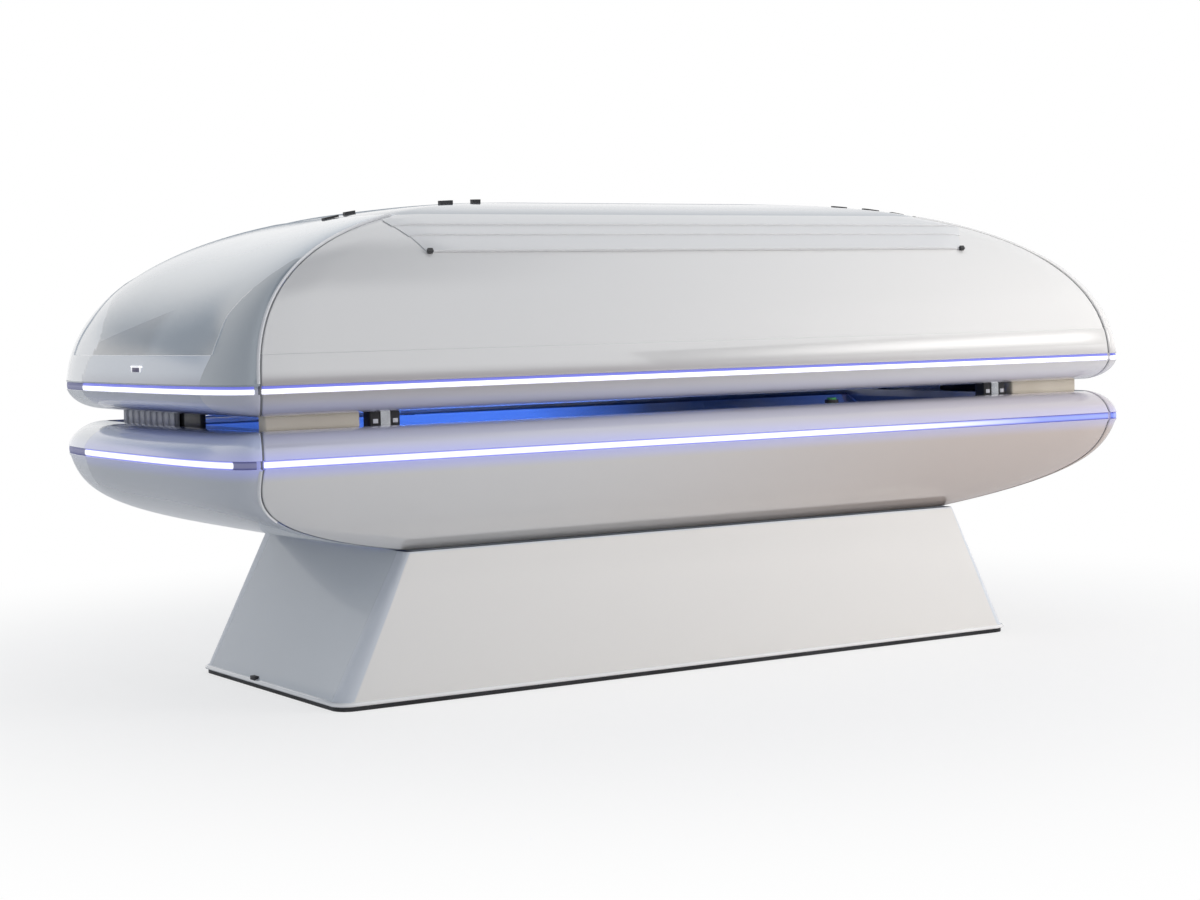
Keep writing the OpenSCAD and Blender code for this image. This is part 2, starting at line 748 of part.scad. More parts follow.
module bed_frame() {
  half = post_w / 2;
  near = sill_inner + post_out;
  color("slategray") {
    for (sy = [-1, 1]) {
      rail = sy * rail_y;
      upper = sy * post_y;
      block([-rail_half, rail - tube_w / 2, rail_low], [rail_half, rail + tube_w / 2, cross_low]);
      block([-end_tube_x, upper - half, upper_low], [end_tube_x, upper + half, upper_top]);
      for (x = post_spots) {
        a = [x - half, sy > 0 ? post_y : -near - post_w, upper_low];
        block(a, a + [post_w, near + post_w - post_y, cross_h]);
        b = [x - half, sy > 0 ? near : -near - post_w, upper_low];
        block(b, b + [post_w, post_w, bed_sill_low - upper_low]);
      }
    }
    for (x = [-rail_half + tube_w / 2, 0, rail_half - tube_w / 2]) {
      cross_tube(x, post_y + half, cross_low, upper_low);
      cross_tube(x, bearer_half, upper_low, bed_tray_low - seat_gap);
    }
    two_ends() {
      block([end_tube_x - post_w, -post_y - half, upper_low], [end_tube_x, post_y + half, upper_top]);
      block(
        [end_tube_x, strut_foot_y - bracket_half, upper_low],
        [bracket_x + bracket_w, strut_foot_y + bracket_half, strut_foot_z + bracket_half]
      );
      translate([bracket_x, strut_foot_y, strut_foot_z]) rotate([0, 90, 0])
        cylinder(r = rod_r, h = strut_x - bracket_x + bracket_stud, $fn = 48);
    }
  }
}
// Slots in the sills that the struts pass through
slot_front = 10;
slot_rear = 20;
slot_side = 4;
slot_low = strut_foot_y - slot_front;
slot_high = hinge_y - strut_head_back + slot_rear;
slot_half = strut_r + slot_side;
module sill(low, high) {
  difference() {
    block([-sill_outer_end, -sill_outer, low], [sill_outer_end, sill_outer, high]);
    block([-sill_inner_end, -sill_inner, low - 1], [sill_inner_end, sill_inner, high + 1]);
    two_ends() block([strut_x - slot_half, slot_low, low - 1], [strut_x + slot_half, slot_high, high + 1]);
  }
}
module bed_sill() {
  color("silver") sill(bed_sill_low, bed_sill_top);
}
module arc_band(centre_z, inner, outer, half, low, high) {
  intersection() {
    translate([0, centre_z]) difference() {
      circle(r = outer, $fn = 180);
      circle(r = inner, $fn = 180);
    }
    translate([-half, low]) square([2 * half, high - low]);
  }
}
module bed_acrylic() {
  color("lightcyan", 0.5) along_x(2 * sheet_half)
    arc_band(bed_centre_z, bed_sheet_r, bed_sheet_r + acrylic_thick, sheet_y, 0, bed_sill_top);
}
bed_tray_y = post_y - post_w / 2 - seat_gap;
bed_tray_half = end_tube_x - post_w - seat_gap;
tray_past = 4;
canopy_tray_half = board_length / 2 + tray_past;
module bed_lamp_tray() {
  color("gainsboro") along_x(2 * bed_tray_half)
    arc_band(bed_centre_z, bed_tray_r, bed_tray_r + tray_thick, bed_tray_y, 0, bed_sill_top);
}
module boards(centre_z, face_r, count, side) {
  pitch = 2 * asin(board_width / 2 / face_r) + 2 * asin(board_space / 2 / face_r);
  for (i = [0:count - 1])
    translate([0, 0, centre_z]) rotate([(i - (count - 1) / 2) * pitch, 0, 0])
      translate([0, 0, side * (face_r - board_thick / 2)])
        cube([board_length, board_width, board_thick], center = true);
}
// A flat board's corners touch its round tray: the face radius keeps them clear
function board_seat(r) = sqrt(r * r - board_width * board_width / 4) - seat_gap;
module bed_led_boards() {
  color("white") boards(bed_centre_z, board_seat(bed_tray_r), bed_boards, -1);
}
wall_short = 1;
module bed_end_walls() {
  half = sill_inner - wall_short;
  color("whitesmoke") two_ends()
    block([sill_inner_end, -half, upper_top], [sill_inner_end + wall_thick, half, bed_sill_low]);
}

// Fans: a square housing with a spindle on two crossed spokes, and a bladed rotor on it
spoke_half = 3;
spoke_h = 3;
spindle_short = 4;
rotor_lift = 4;
rotor_h = fan_h - 7;
blade_tilt = 35;
blade_half = 9;
blade_side = 1;
blade_root = 2;
module fan_frame(x, low) {
  side = fan_side / 2;
  translate([x, 0, low]) {
    difference() {
      block([-side, -side, 0], [side, side, fan_h]);
      translate([0, 0, -1]) cylinder(r = fan_bore, h = fan_h + 2, $fn = 96);
    }
    for (a = [45, 135])
      rotate([0, 0, a]) block([-fan_bore - 1, -spoke_half, 0], [fan_bore + 1, spoke_half, spoke_h]);
    cylinder(r = fan_hub - blade_root, h = spoke_h + 0.5, $fn = 64);
    cylinder(r = spindle_r, h = fan_h - spindle_short, $fn = 48);
  }
}
module fan_rotor(x, low) {
  translate([x, 0, low + rotor_lift]) difference() {
    union() {
      cylinder(r = fan_hub, h = rotor_h, $fn = 64);
      for (i = [0:fan_blades - 1]) rotate([0, 0, i * 360 / fan_blades])
        translate([fan_hub - blade_root, 0, rotor_h / 2]) rotate([blade_tilt, 0, 0])
          block([0, -blade_half, -blade_side], [fan_bore - fan_hub - 1, blade_half, blade_side]);
    }
    translate([0, 0, -1]) cylinder(r = spindle_r + pin_play, h = fan_h, $fn = 48);
  }
}
bed_fan_low = pan_top;
module bed_fan_frames() {
  color("dimgray") for (sx = [-1, 1]) fan_frame(sx * fan_x, bed_fan_low);
}
module bed_fan_rotor_left() {
  color("black") fan_rotor(-fan_x, bed_fan_low);
}
module bed_fan_rotor_right() {
  color("black") fan_rotor(fan_x, bed_fan_low);
}

// Fittings that sit in the gap between the two rims
bar_low = bed_sill_top;
bar_top = canopy_sill_low - rest_gap;
bar_set = 3;
bar_front = lip_y - bar_set;
module rest_bars() {
  color("antiquewhite") two_ends()
    block([bar_start, -bar_front, bar_low], [bar_end, -bar_front + bar_w, bar_top]);
}
stop_top = canopy_sill_low - seat_gap;
stop_w = 20;
plate_proud = 1;
cover_clear = 2;
cover_x = strut_x + slot_half + cover_clear;
cover_base = 8;
cover_rib = 4;
cover_drop = 3;
module stop_blocks() {
  color("black") {
    two_ends() for (x = [stop_start, stop_start + 2 * stop_w])
      block([x, -bar_front, bar_low], [x + stop_w, -bar_front + bar_w, stop_top]);
    two_ends() block(
      [cover_x, -end_block_y - end_block_len / 2, bar_low],
      [cover_x + cover_base + cover_rib, -end_block_y + end_block_len / 2, stop_top]
    );
  }
}
module stop_plates() {
  color("silver") two_ends() block(
    [stop_start + stop_w + seat_gap, -bar_front - plate_proud, bar_low],
    [stop_start + 2 * stop_w - seat_gap, -bar_front + bar_w, bar_top]
  );
}
module gap_covers() {
  rib = (cover_rear - cover_front) / (2 * cover_ribs - 1);
  base = cover_x + cover_base;
  top = bar_top - cover_drop;
  color("gainsboro") two_ends() {
    block([cover_x, cover_front, bar_low], [base, cover_rear, top]);
    for (i = [0:cover_ribs - 1]) {
      near = cover_front + 2 * i * rib;
      block([base, near, bar_low], [base + cover_rib, near + rib, top]);
    }
  }
}
button_y = -(sill_inner + lip_y) / 2;
bezel_h = 10;
bezel_rim = 4;
button_float = 0.5;
button_proud = 1.5;
module button_bezel() {
  color("silver") translate([button_x, button_y, bar_low]) difference() {
    cylinder(r = button_r + bezel_rim, h = bezel_h, $fn = 64);
    translate([0, 0, -1]) cylinder(r = button_r + pin_play, h = 2 * bezel_h, $fn = 64);
  }
}
module start_button() {
  color("limegreen") translate([button_x, button_y, bar_low + button_travel + button_float])
    cylinder(r = button_r, h = bezel_h + button_proud, $fn = 64);
}

// Rear hinges: two leaves on one pin
leaf_in = 4;
leaf_front = sill_inner + leaf_in;
leaf_clear = 0.6;
leaf_thick = 4;
leaf_step = 0.5;
tongue_lap = 2;
knuckle_share = 0.36;
lower_start = hinge_len * (1 - 2 * knuckle_share) / 2;
upper_share = lower_start - seat_gap;
module leaf(low, lip, length) {
  half = length / 2;
  top = lip + leaf_clear + leaf_thick;
  block([-half, leaf_front, low], [half, lip_y - leaf_step, top]);
  block([-half, leaf_front, lip + leaf_clear], [half, hinge_y - knuckle_r - 2, top]);
}
module leaf_tongue(start, end, lip) {
  low = lip + leaf_clear;
  block([start, lip_y - tongue_lap, low], [end, hinge_y, low + leaf_thick]);
}
module knuckle(start, end) {
  translate([start, hinge_y, hinge_z]) rotate([0, 90, 0]) cylinder(r = knuckle_r, h = end - start, $fn = 64);
}
module pin_bore() {
  translate([-hinge_len, hinge_y, hinge_z]) rotate([0, 90, 0])
    cylinder(r = hinge_pin_r + pin_play, h = 2 * hinge_len, $fn = 64);
}
screw_spots = [-32, 32];
leaf_bore = 30;
leaf_screw_y = (leaf_front + lip_y) / 2;
module leaf_screw_holes(low) {
  for (x = screw_spots) translate([x, leaf_screw_y, low - leaf_bore])
    cylinder(r = screw_r + screw_play, h = 2 * leaf_bore, $fn = 32);
}
module lower_leaf() {
  half = hinge_len / 2;
  difference() {
    union() {
      leaf(bed_sill_top, bed_lip_z, hinge_len);
      two_ends() {
        leaf_tongue(lower_start, half, bed_lip_z);
        knuckle(lower_start, half);
      }
    }
    pin_bore();
    leaf_screw_holes(bed_sill_top);
  }
}
module upper_leaf() {
  difference() {
    union() {
      translate([0, 0, 2 * hinge_z]) mirror([0, 0, 1]) {
        leaf(bed_sill_top, bed_lip_z, hinge_len);
        leaf_tongue(-upper_share, upper_share, bed_lip_z);
      }
      knuckle(-upper_share, upper_share);
    }
    pin_bore();
  }
}
module hinge_lower_leaves() {
  color("silver") two_ends() translate([hinge_x, 0, 0]) lower_leaf();
}
module hinge_upper_leaves() {
  color("silver") two_ends() translate([hinge_x, 0, 0]) upper_leaf();
}
pin_past = 2;
module hinge_pins() {
  length = hinge_len + 2 * pin_past;
  color("gray") two_ends() translate([hinge_x - length / 2, hinge_y, hinge_z]) rotate([0, 90, 0])
    cylinder(r = hinge_pin_r, h = length, $fn = 64);
}
leaf_screw_head = 2;
module bed_hinge_screws() {
  head = bed_lip_z + leaf_clear + leaf_thick;
  color("silver") two_ends() for (x = screw_spots) translate([hinge_x + x, leaf_screw_y, 0]) {
    translate([0, 0, head]) cylinder(r = screw_head_r, h = leaf_screw_head, $fn = 32);
    translate([0, 0, bed_sill_top]) cylinder(r = screw_r, h = head - bed_sill_top, $fn = 32);
  }
}

// Gas struts: a cylinder on the bed and a rod whose eye stands beside the canopy's stud
module along_strut() {
  translate([0, strut_foot[0], strut_foot[1]]) rotate([strut_angle, 0, 0]) rotate([-90, 0, 0]) children();
}
module across_strut(at, reach) {
  translate([strut_x - reach, at[0], at[1]]) rotate([0, 90, 0]) children();
}
neck_r = 4.5;
neck_len = 12;
neck_lap = 2;
tube_start = eye_r + 6;
bore_start = eye_r + 16;
module cylinder_solid() {
  difference() {
    union() {
      across_strut(strut_foot, eye_w / 2) cylinder(r = eye_r, h = eye_w, $fn = 64);
      translate([strut_x, 0, 0]) along_strut() {
        translate([0, 0, eye_r - neck_lap]) cylinder(r = neck_r, h = neck_len, $fn = 48);
        translate([0, 0, tube_start]) cylinder(r = strut_r, h = cylinder_len - tube_start, $fn = 64);
      }
    }
    across_strut(strut_foot, 2 * eye_w) cylinder(r = rod_r + pin_play, h = 4 * eye_w, $fn = 64);
    translate([strut_x, 0, 0]) along_strut() translate([0, 0, bore_start])
      cylinder(r = rod_r + pin_play, h = cylinder_len, $fn = 64);
  }
}
rod_start = 40;
module rod_solid() {
  translate([strut_x, 0, 0]) along_strut() translate([0, 0, rod_start])
    cylinder(r = rod_r, h = strut_reach - rod_start - eye_r + neck_lap, $fn = 64);
  across_strut(strut_head, eye_w / 2) cylinder(r = eye_r, h = eye_w, $fn = 64);
}
module strut_cylinder_left() {
  color("black") mirror([1, 0, 0]) cylinder_solid();
}
module strut_cylinder_right() {
  color("black") cylinder_solid();
}
module strut_rod_left() {
  color("silver") mirror([1, 0, 0]) rod_solid();
}
module strut_rod_right() {
  color("silver") rod_solid();
}

// Canopy structure
hoop_r = canopy_sheet_r + acrylic_thick + seat_gap;
hoop_depth = 10;
hoop_x = sill_inner_end + 5;
hoop_thick = 8;
stud_r = rod_r + 1;
stud_clear = 0.4;
stud_end = strut_x - eye_w / 2 - stud_clear;
canopy_top = canopy_strip_z + canopy_rise;
foot_in = sheet_y + 18;
foot_out = half_w - 32;
foot_len = foot_out - foot_in;
cheek_front = strut_head[0] - 18;
cheek_rear = sill_inner + 14;
cheek_top = strut_head[1] + 12;
beam_lap = 2;
rib_x = rail_half;
module canopy_frame() {
  half = rib_thick / 2;
  color("slategray") {
    for (x = [-rib_x, 0, rib_x]) translate([x, 0, 0]) {
      along_x(rib_thick)
        arc_band(canopy_centre_z, rib_r, rib_r + rib_depth, half_w, canopy_sill_top, canopy_top);
      for (y = [foot_in, -foot_out])
        block([-half, y, canopy_sill_top], [half, y + foot_len, canopy_sill_top + rib_foot]);
    }
    block([-rib_x - half, -tube_w / 2, beam_z - beam_lap], [rib_x + half, tube_w / 2, beam_z + beam_h]);
    two_ends() {
      translate([hoop_x + hoop_thick / 2, 0, 0]) along_x(hoop_thick)
        arc_band(canopy_centre_z, hoop_r, hoop_r + hoop_depth, half_w, canopy_sill_top, canopy_top);
      block([hoop_x, cheek_front, canopy_sill_top], [hoop_x + hoop_thick, cheek_rear, cheek_top]);
      translate([hoop_x, strut_head[0], strut_head[1]]) rotate([0, 90, 0])
        cylinder(r = stud_r, h = stud_end - hoop_x, $fn = 48);
    }
  }
}
module canopy_sill() {
  color("silver") sill(canopy_sill_low, canopy_sill_top);
}
module canopy_acrylic() {
  outer = canopy_sheet_r + acrylic_thick;
  color("lightcyan", 0.5) along_x(2 * sheet_half)
    arc_band(canopy_centre_z, canopy_sheet_r, outer, sheet_y, canopy_sill_low, canopy_top);
}
tray_lift = 2;
tray_foot = canopy_sill_top + rib_foot + tray_lift;
module canopy_lamp_tray() {
  color("gainsboro") along_x(2 * canopy_tray_half)
    arc_band(canopy_centre_z, canopy_tray_r, canopy_tray_r + tray_thick, half_w, tray_foot, canopy_top);
}
module canopy_led_boards() {
  color("white") boards(canopy_centre_z, board_seat(canopy_tray_r), canopy_boards, 1);
}
module canopy_end_walls() {
  color("whitesmoke") two_ends() translate([sill_inner_end + wall_thick / 2, 0, 0]) along_x(wall_thick)
    intersection() {
      translate([0, canopy_centre_z]) circle(r = hoop_r + hoop_depth, $fn = 180);
      translate([-half_w, canopy_sill_top]) square([2 * half_w, canopy_rise]);
    }
}
canopy_fan_low = beam_z + beam_h;
module canopy_fan_frames() {
  color("dimgray") for (sx = [-1, 1]) fan_frame(sx * fan_x, canopy_fan_low);
}
module canopy_fan_rotor_left() {
  color("black") fan_rotor(-fan_x, canopy_fan_low);
}
module canopy_fan_rotor_right() {
  color("black") fan_rotor(fan_x, canopy_fan_low);
}

// Louvre: three slats that overlap like shingles on the upper front panel
louvre_levels = [0.691, 0.777, 0.834, 0.895];
function front_point(level, lift) =
  let (
    here = canopy_row(level, rim_step),
    near = canopy_row(level + 0.001, rim_step),
    run = [-(near[3] - here[3]), near[0] - here[0]],
    out = [-run[1], run[0]] / norm(run)
  )
  [-here[3] + lift * out[0], here[0] + lift * out[1]];
slat_steps = 4;
slat_tuck = 0.006;
slat_back = 0.6;
slat_top = 3;
function slat_lift(share) = louvre_proud - (louvre_proud - slat_top) * share;
module slat(low, high) {
  shares = [for (i = [0:slat_steps]) i / slat_steps];
  levels = [for (share = shares) low - slat_tuck + (high - low + slat_tuck) * share];
  back = [for (level = levels) front_point(level, slat_back)];
  face = [for (i = [slat_steps:-1:0]) front_point(levels[i], slat_lift(shares[i]))];
  polygon(concat(back, face));
}
module canopy_louvre() {
  color("lightgray") for (i = [0:2])
    along_x(2 * (louvre_half + i * louvre_step)) slat(louvre_levels[i], louvre_levels[i + 1]);
}

// Shell pieces
module canopy_front_panel() {
  color("whitesmoke") long_solid(canopy_chain(0), canopy_chain(shell_wall), false);
}
module canopy_rear_panel() {
  color("whitesmoke") mirror([0, 1, 0]) long_solid(canopy_chain(0), canopy_chain(shell_wall), false);
}
module canopy_right_cap() {
  color("lightsteelblue") cap_solid(canopy_chain(0), canopy_chain(shell_wall), false);
}
module canopy_left_cap() {
  color("lightsteelblue") mirror([1, 0, 0]) cap_solid(canopy_chain(0), canopy_chain(shell_wall), false);
}
function ring(row) = [
  for (i = [0:cap_steps]) cap_point(row, -90 + i * 180 / cap_steps, 0),
  for (i = [0:cap_steps]) let (p = cap_point(row, 90 - i * 180 / cap_steps, 0)) [-p[0], p[1], p[2]]
];
spine_rows = 5;
function spine_chain(inset) = [
  for (i = [0:spine_rows])
    let (
      start = asin(spine_level + spine_seam),
      turn = start + (asin(crown_end) - start) * i / spine_rows
    )
    canopy_row(sin(turn), rim_step + inset)
];
module canopy_spine() {
  outer = spine_chain(0);
  inner = spine_chain(shell_wall);
  cols = 2 * (cap_steps + 1);
  rows = spine_rows + 1;
  total = rows * cols;
  skin = [for (row = outer) each ring(row)];
  back = [for (row = inner) each ring(row)];
  side = [for (r = [0:rows - 2], c = [0:cols - 1])
    let (a = r * cols + c, b = r * cols + (c + 1) % cols) [a, b, b + cols, a + cols]];
  color("lightsteelblue") polyhedron(
    points = concat(skin, back),
    faces = concat(
      [for (f = side) each [[f[0], f[2], f[1]], [f[0], f[3], f[2]]]],
      [for (f = side) let (g = [for (i = f) i + total]) each [[g[0], g[1], g[2]], [g[0], g[2], g[3]]]],
      [for (c = [0:cols - 1]) let (n = (c + 1) % cols) each [[c, n, n + total], [c, n + total, c + total]]],
      [[for (c = [0:cols - 1]) (rows - 1) * cols + cols - 1 - c]],
      [[for (c = [0:cols - 1]) total + (rows - 1) * cols + c]]
    ),
    convexity = 6
  );
}
module canopy_seam_gaskets() {
  color("gray") four_ways() seam_solid(canopy_chain(1.5), canopy_chain(shell_wall), false);
}
module canopy_glow_strips() {
  glow_strips(canopy_strip_z);
}
module bed_front_panel() {
  color("whitesmoke") long_solid(bed_chain(0), bed_chain(shell_wall), true);
}
module bed_rear_panel() {
  color("whitesmoke") mirror([0, 1, 0]) long_solid(bed_chain(0), bed_chain(shell_wall), true);
}
module bed_right_cap() {
  color("lightsteelblue") cap_solid(bed_chain(0), bed_chain(shell_wall), true);
}
module bed_left_cap() {
  color("lightsteelblue") mirror([1, 0, 0]) cap_solid(bed_chain(0), bed_chain(shell_wall), true);
}
module bed_seam_gaskets() {
  color("gray") four_ways() seam_solid(bed_chain(1.5), bed_chain(shell_wall), true);
}
module bed_glow_strips() {
  glow_strips(strip_height);
}

plinth();
pedestal_frame();
pedestal_front_panel();
pedestal_rear_panel();
pedestal_left_end();
pedestal_right_end();
pedestal_top_plate();
service_hatch();
hatch_screws();
mains_inlet();
mains_rocker();
power_supplies();
control_box();
bed_pan();
bed_frame();
bed_front_panel();
bed_rear_panel();
bed_left_cap();
bed_right_cap();
bed_seam_gaskets();
bed_glow_strips();
bed_sill();
bed_acrylic();
bed_lamp_tray();
bed_led_boards();
bed_end_walls();
bed_fan_frames();
bed_fan_rotor_left();
bed_fan_rotor_right();
rest_bars();
stop_blocks();
stop_plates();
gap_covers();
button_bezel();
start_button();
hinge_lower_leaves();
hinge_pins();
bed_hinge_screws();
strut_cylinder_left();
strut_cylinder_right();
strut_rod_left();
strut_rod_right();
canopy_frame();
canopy_front_panel();
canopy_rear_panel();
canopy_left_cap();
canopy_right_cap();
canopy_spine();
canopy_seam_gaskets();
canopy_louvre();
canopy_glow_strips();
canopy_sill();
canopy_acrylic();
canopy_lamp_tray();
canopy_led_boards();
canopy_end_walls();
canopy_fan_frames();
canopy_fan_rotor_left();
canopy_fan_rotor_right();
hinge_upper_leaves();
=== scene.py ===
import math
import bmesh
import bpy
import numpy as np
from mathutils import Matrix, Vector


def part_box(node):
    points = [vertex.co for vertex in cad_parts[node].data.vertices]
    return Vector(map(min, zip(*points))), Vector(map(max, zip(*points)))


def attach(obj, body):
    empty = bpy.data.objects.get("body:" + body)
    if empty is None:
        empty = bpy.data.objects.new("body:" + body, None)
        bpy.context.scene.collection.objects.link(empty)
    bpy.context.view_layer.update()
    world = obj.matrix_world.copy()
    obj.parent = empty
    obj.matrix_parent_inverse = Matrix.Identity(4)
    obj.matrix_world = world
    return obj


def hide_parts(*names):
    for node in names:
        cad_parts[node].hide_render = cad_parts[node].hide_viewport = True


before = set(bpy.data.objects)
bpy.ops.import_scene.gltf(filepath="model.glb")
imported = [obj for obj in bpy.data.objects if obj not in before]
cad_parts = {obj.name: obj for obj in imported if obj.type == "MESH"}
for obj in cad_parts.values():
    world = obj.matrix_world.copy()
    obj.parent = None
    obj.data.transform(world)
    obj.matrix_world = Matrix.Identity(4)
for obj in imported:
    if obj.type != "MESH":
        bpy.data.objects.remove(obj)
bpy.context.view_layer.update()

# The photograph's stand: 4.8 m from the middle of the bed, at table height, with the lens turned
# a little down and leaning by just over one degree.
stand = Vector((-2.5958, -4.0836, 0.7112))
pan, dip, lean = math.radians(32.103), math.radians(-3.335), math.radians(-1.351)
view_ahead = Vector((math.sin(pan) * math.cos(dip), math.cos(pan) * math.cos(dip), math.sin(dip)))
flat_right = Vector((math.cos(pan), -math.sin(pan), 0))
flat_up = flat_right.cross(view_ahead)
view_right = flat_right * math.cos(lean) + flat_up * math.sin(lean)
view_up = flat_up * math.cos(lean) - flat_right * math.sin(lean)


def placed(name, data):
    """A new object in the scene."""
    thing = bpy.data.objects.new(name, data)
    bpy.context.scene.collection.objects.link(thing)
    return thing


lens = bpy.data.cameras.new("photo_view")
lens.sensor_width = 36
lens.lens = 68.54
lens.clip_end = 80
photo_view = placed("photo_view", lens)
view_axes = Matrix((view_right, view_up, -view_ahead)).transposed()
photo_view.matrix_world = Matrix.Translation(stand) @ view_axes.to_4x4()
bpy.context.scene.camera = photo_view

# Pedestal panels: 3 mm sheet steel, folded round the corners and powder coated in satin white,
# with the foot rolled out a little. The sloping ends are painted a cooler blue-grey as painted shade,
# and the rounded corners of the front and rear panels take the same painted shade.


def feed(node, inputs):
    """Sets a node's inputs to plain values, or links them to other nodes' outputs."""
    for key, value in inputs.items():
        if isinstance(value, bpy.types.NodeSocket):
            node.id_data.links.new(value, node.inputs[key])
        else:
            node.inputs[key].default_value = value
    return node


def new_node(tree, kind, inputs=None, **settings):
    """Adds a node, makes its settings and feeds its inputs."""
    node = tree.nodes.new(kind)
    for key, value in settings.items():
        setattr(node, key, value)
    return feed(node, inputs or {})


def scaled(tree, value, low, high, start=0.0, end=1.0, way="LINEAR"):
    """Maps a value from one range to another."""
    ranges = {"Value": value, "From Min": low, "From Max": high, "To Min": start, "To Max": end}
    return new_node(tree, "ShaderNodeMapRange", ranges, interpolation_type=way).outputs["Result"]


def blended(tree, share, first, second, way="MIX"):
    """Mixes two colours, each a plain colour or another node's output."""
    first, second = ((*colour, 1) if isinstance(colour, tuple) else colour for colour in (first, second))
    inputs = {"Factor": share, "A": first, "B": second}
    return new_node(tree, "ShaderNodeMix", inputs, data_type="RGBA", blend_type=way).outputs["Result"]


def node_group(name, kind, inputs, outputs):
    """A node group with named sockets, each a name, a type and, for some, a start value."""
    group = bpy.data.node_groups.new(name, kind)
    for way, sockets in (("INPUT", inputs), ("OUTPUT", outputs)):
        for label, sort, *start in sockets:
            socket = group.interface.new_socket(name=label, in_out=way, socket_type="NodeSocket" + sort)
            if start:
                socket.default_value = start[0]
    return group


skin_group = node_group(
    "surface_skin", "ShaderNodeTree",
    (("Grain Scale", "Float", 900.0), ("Grain Height", "Float", 0.02), ("Patch Scale", "Float", 2.0)),
    (("Tone", "Float"), ("Smudge", "Float"), ("Normal", "Vector")),
)
skin_in = new_node(skin_group, "NodeGroupInput").outputs
skin_place = new_node(skin_group, "ShaderNodeTexCoord").outputs["Object"]
clouds = ({"Vector": skin_place, "Scale": scale, "Detail": detail} for scale, detail in (
    (skin_in["Grain Scale"], 2.0), (skin_in["Patch Scale"], 1.0), (11.0, 3.0)))
noises = (new_node(skin_group, "ShaderNodeTexNoise", cloud) for cloud in clouds)
grain, patches, smudges = (noise.outputs["Fac"] for noise in noises)
relief = new_node(skin_group, "ShaderNodeBump", {
    "Distance": 0.0004, "Strength": skin_in["Grain Height"], "Height": grain}).outputs["Normal"]
new_node(skin_group, "NodeGroupOutput", {"Tone": patches, "Smudge": smudges, "Normal": relief})


def surface(material):
    """The shader node of a material."""
    return material.node_tree.nodes["Principled BSDF"]


def finish(name, light, dark, gloss, dull, grain_scale, grain_height, patch=2.0, metal=0.0, coat=0.0):
    """A finish that drifts between two tones, with soft smudges in its gloss and a fine grain."""
    material = bpy.data.materials.new(name)
    material.use_nodes = True
    tree = material.node_tree
    scales = {"Grain Scale": grain_scale, "Grain Height": grain_height, "Patch Scale": patch}
    skin = new_node(tree, "ShaderNodeGroup", scales, node_tree=skin_group).outputs
    feed(surface(material), {
        "Base Color": blended(tree, scaled(tree, skin["Tone"], 0.35, 0.65), light, dark),
        "Roughness": scaled(tree, skin["Smudge"], 0.3, 0.7, gloss, dull),
        "Normal": skin["Normal"],
        "Metallic": metal,
        "Coat Weight": coat,
        "Coat Roughness": 0.04,
    })
    return material


def tinted(material, mask, tint):
    """Mixes a tint into a material's colour where a mask says so."""
    plain = surface(material).inputs["Base Color"].links[0].from_socket
    feed(surface(material), {"Base Color": blended(material.node_tree, mask, plain, tint)})


def carried(material, name, output="Fac"):
    """A mask or a colour that a mesh carries as an attribute."""
    return new_node(material.node_tree, "ShaderNodeAttribute", attribute_name=name).outputs[output]


def piece(name, verts, faces, material, slot, crisp=35):
    """A mesh piece with faces outwards, smooth but for edges sharper than the crisp angle."""
    mesh = bpy.data.meshes.new(name)
    mesh.from_pydata([tuple(map(float, v)) for v in verts], [], faces)
    tidy = bmesh.new()
    tidy.from_mesh(mesh)
    bmesh.ops.remove_doubles(tidy, verts=tidy.verts, dist=1e-6)
    bmesh.ops.recalc_face_normals(tidy, faces=tidy.faces)
    tidy.to_mesh(mesh)
    tidy.free()
    mesh.shade_smooth()
    mesh.set_sharp_from_angle(angle=math.radians(crisp))
    mesh.materials.append(material)
    return placed(name, mesh)


def settled(thing):
    """Turns what a piece's modifiers make into its plain mesh."""
    ready = thing.evaluated_get(bpy.context.evaluated_depsgraph_get())
    thing.data = bpy.data.meshes.new_from_object(ready)
    thing.modifiers.clear()


def skin_and_back(outer, inner, ring=False, crown=False):
    """Points and faces of a closed wall between two grids of points of the same size."""
    rows, cols = outer.shape[:2]
    count = rows * cols
    spans = cols if ring else cols - 1
    verts = np.concatenate([outer.reshape(-1, 3), inner.reshape(-1, 3)])
    faces = []
    for r in range(rows - 1):
        for c in range(spans):
            a, b = r * cols + c, r * cols + (c + 1) % cols
            faces.append((a, b, b + cols, a + cols))
            faces.append((count + a, count + a + cols, count + b + cols, count + b))
    edges = [(c, (c + 1) % cols) for c in range(spans)]
    if not crown:
        edges += [((rows - 1) * cols + b, (rows - 1) * cols + a) for a, b in edges]
    if not ring:
        edges += [((r + 1) * cols, r * cols) for r in range(rows - 1)]
        edges += [(r * cols + cols - 1, (r + 2) * cols - 1) for r in range(rows - 1)]
    faces += [(b, a, a + count, b + count) for a, b in edges]
    return verts, faces


pedestal_foot, pedestal_crown = np.array([0.8116, 0.3245]), np.array([0.6636, 0.321])
foot_corner, crown_corner = 0.034, 0.012
foot_z, crown_z = 0.009, 0.284
sheet_thick = 0.003
fold_y, end_y = 0.2845, 0.2842


def pedestal_share(z):
    """How far up the pedestal a height lies, from 0 at its foot to 1 at its crown."""
    return (z - foot_z) / (crown_z - foot_z)


def pedestal_half(share):
    """Half length and half width of the pedestal at a share of its height."""
    return pedestal_foot + (pedestal_crown - pedestal_foot) * share


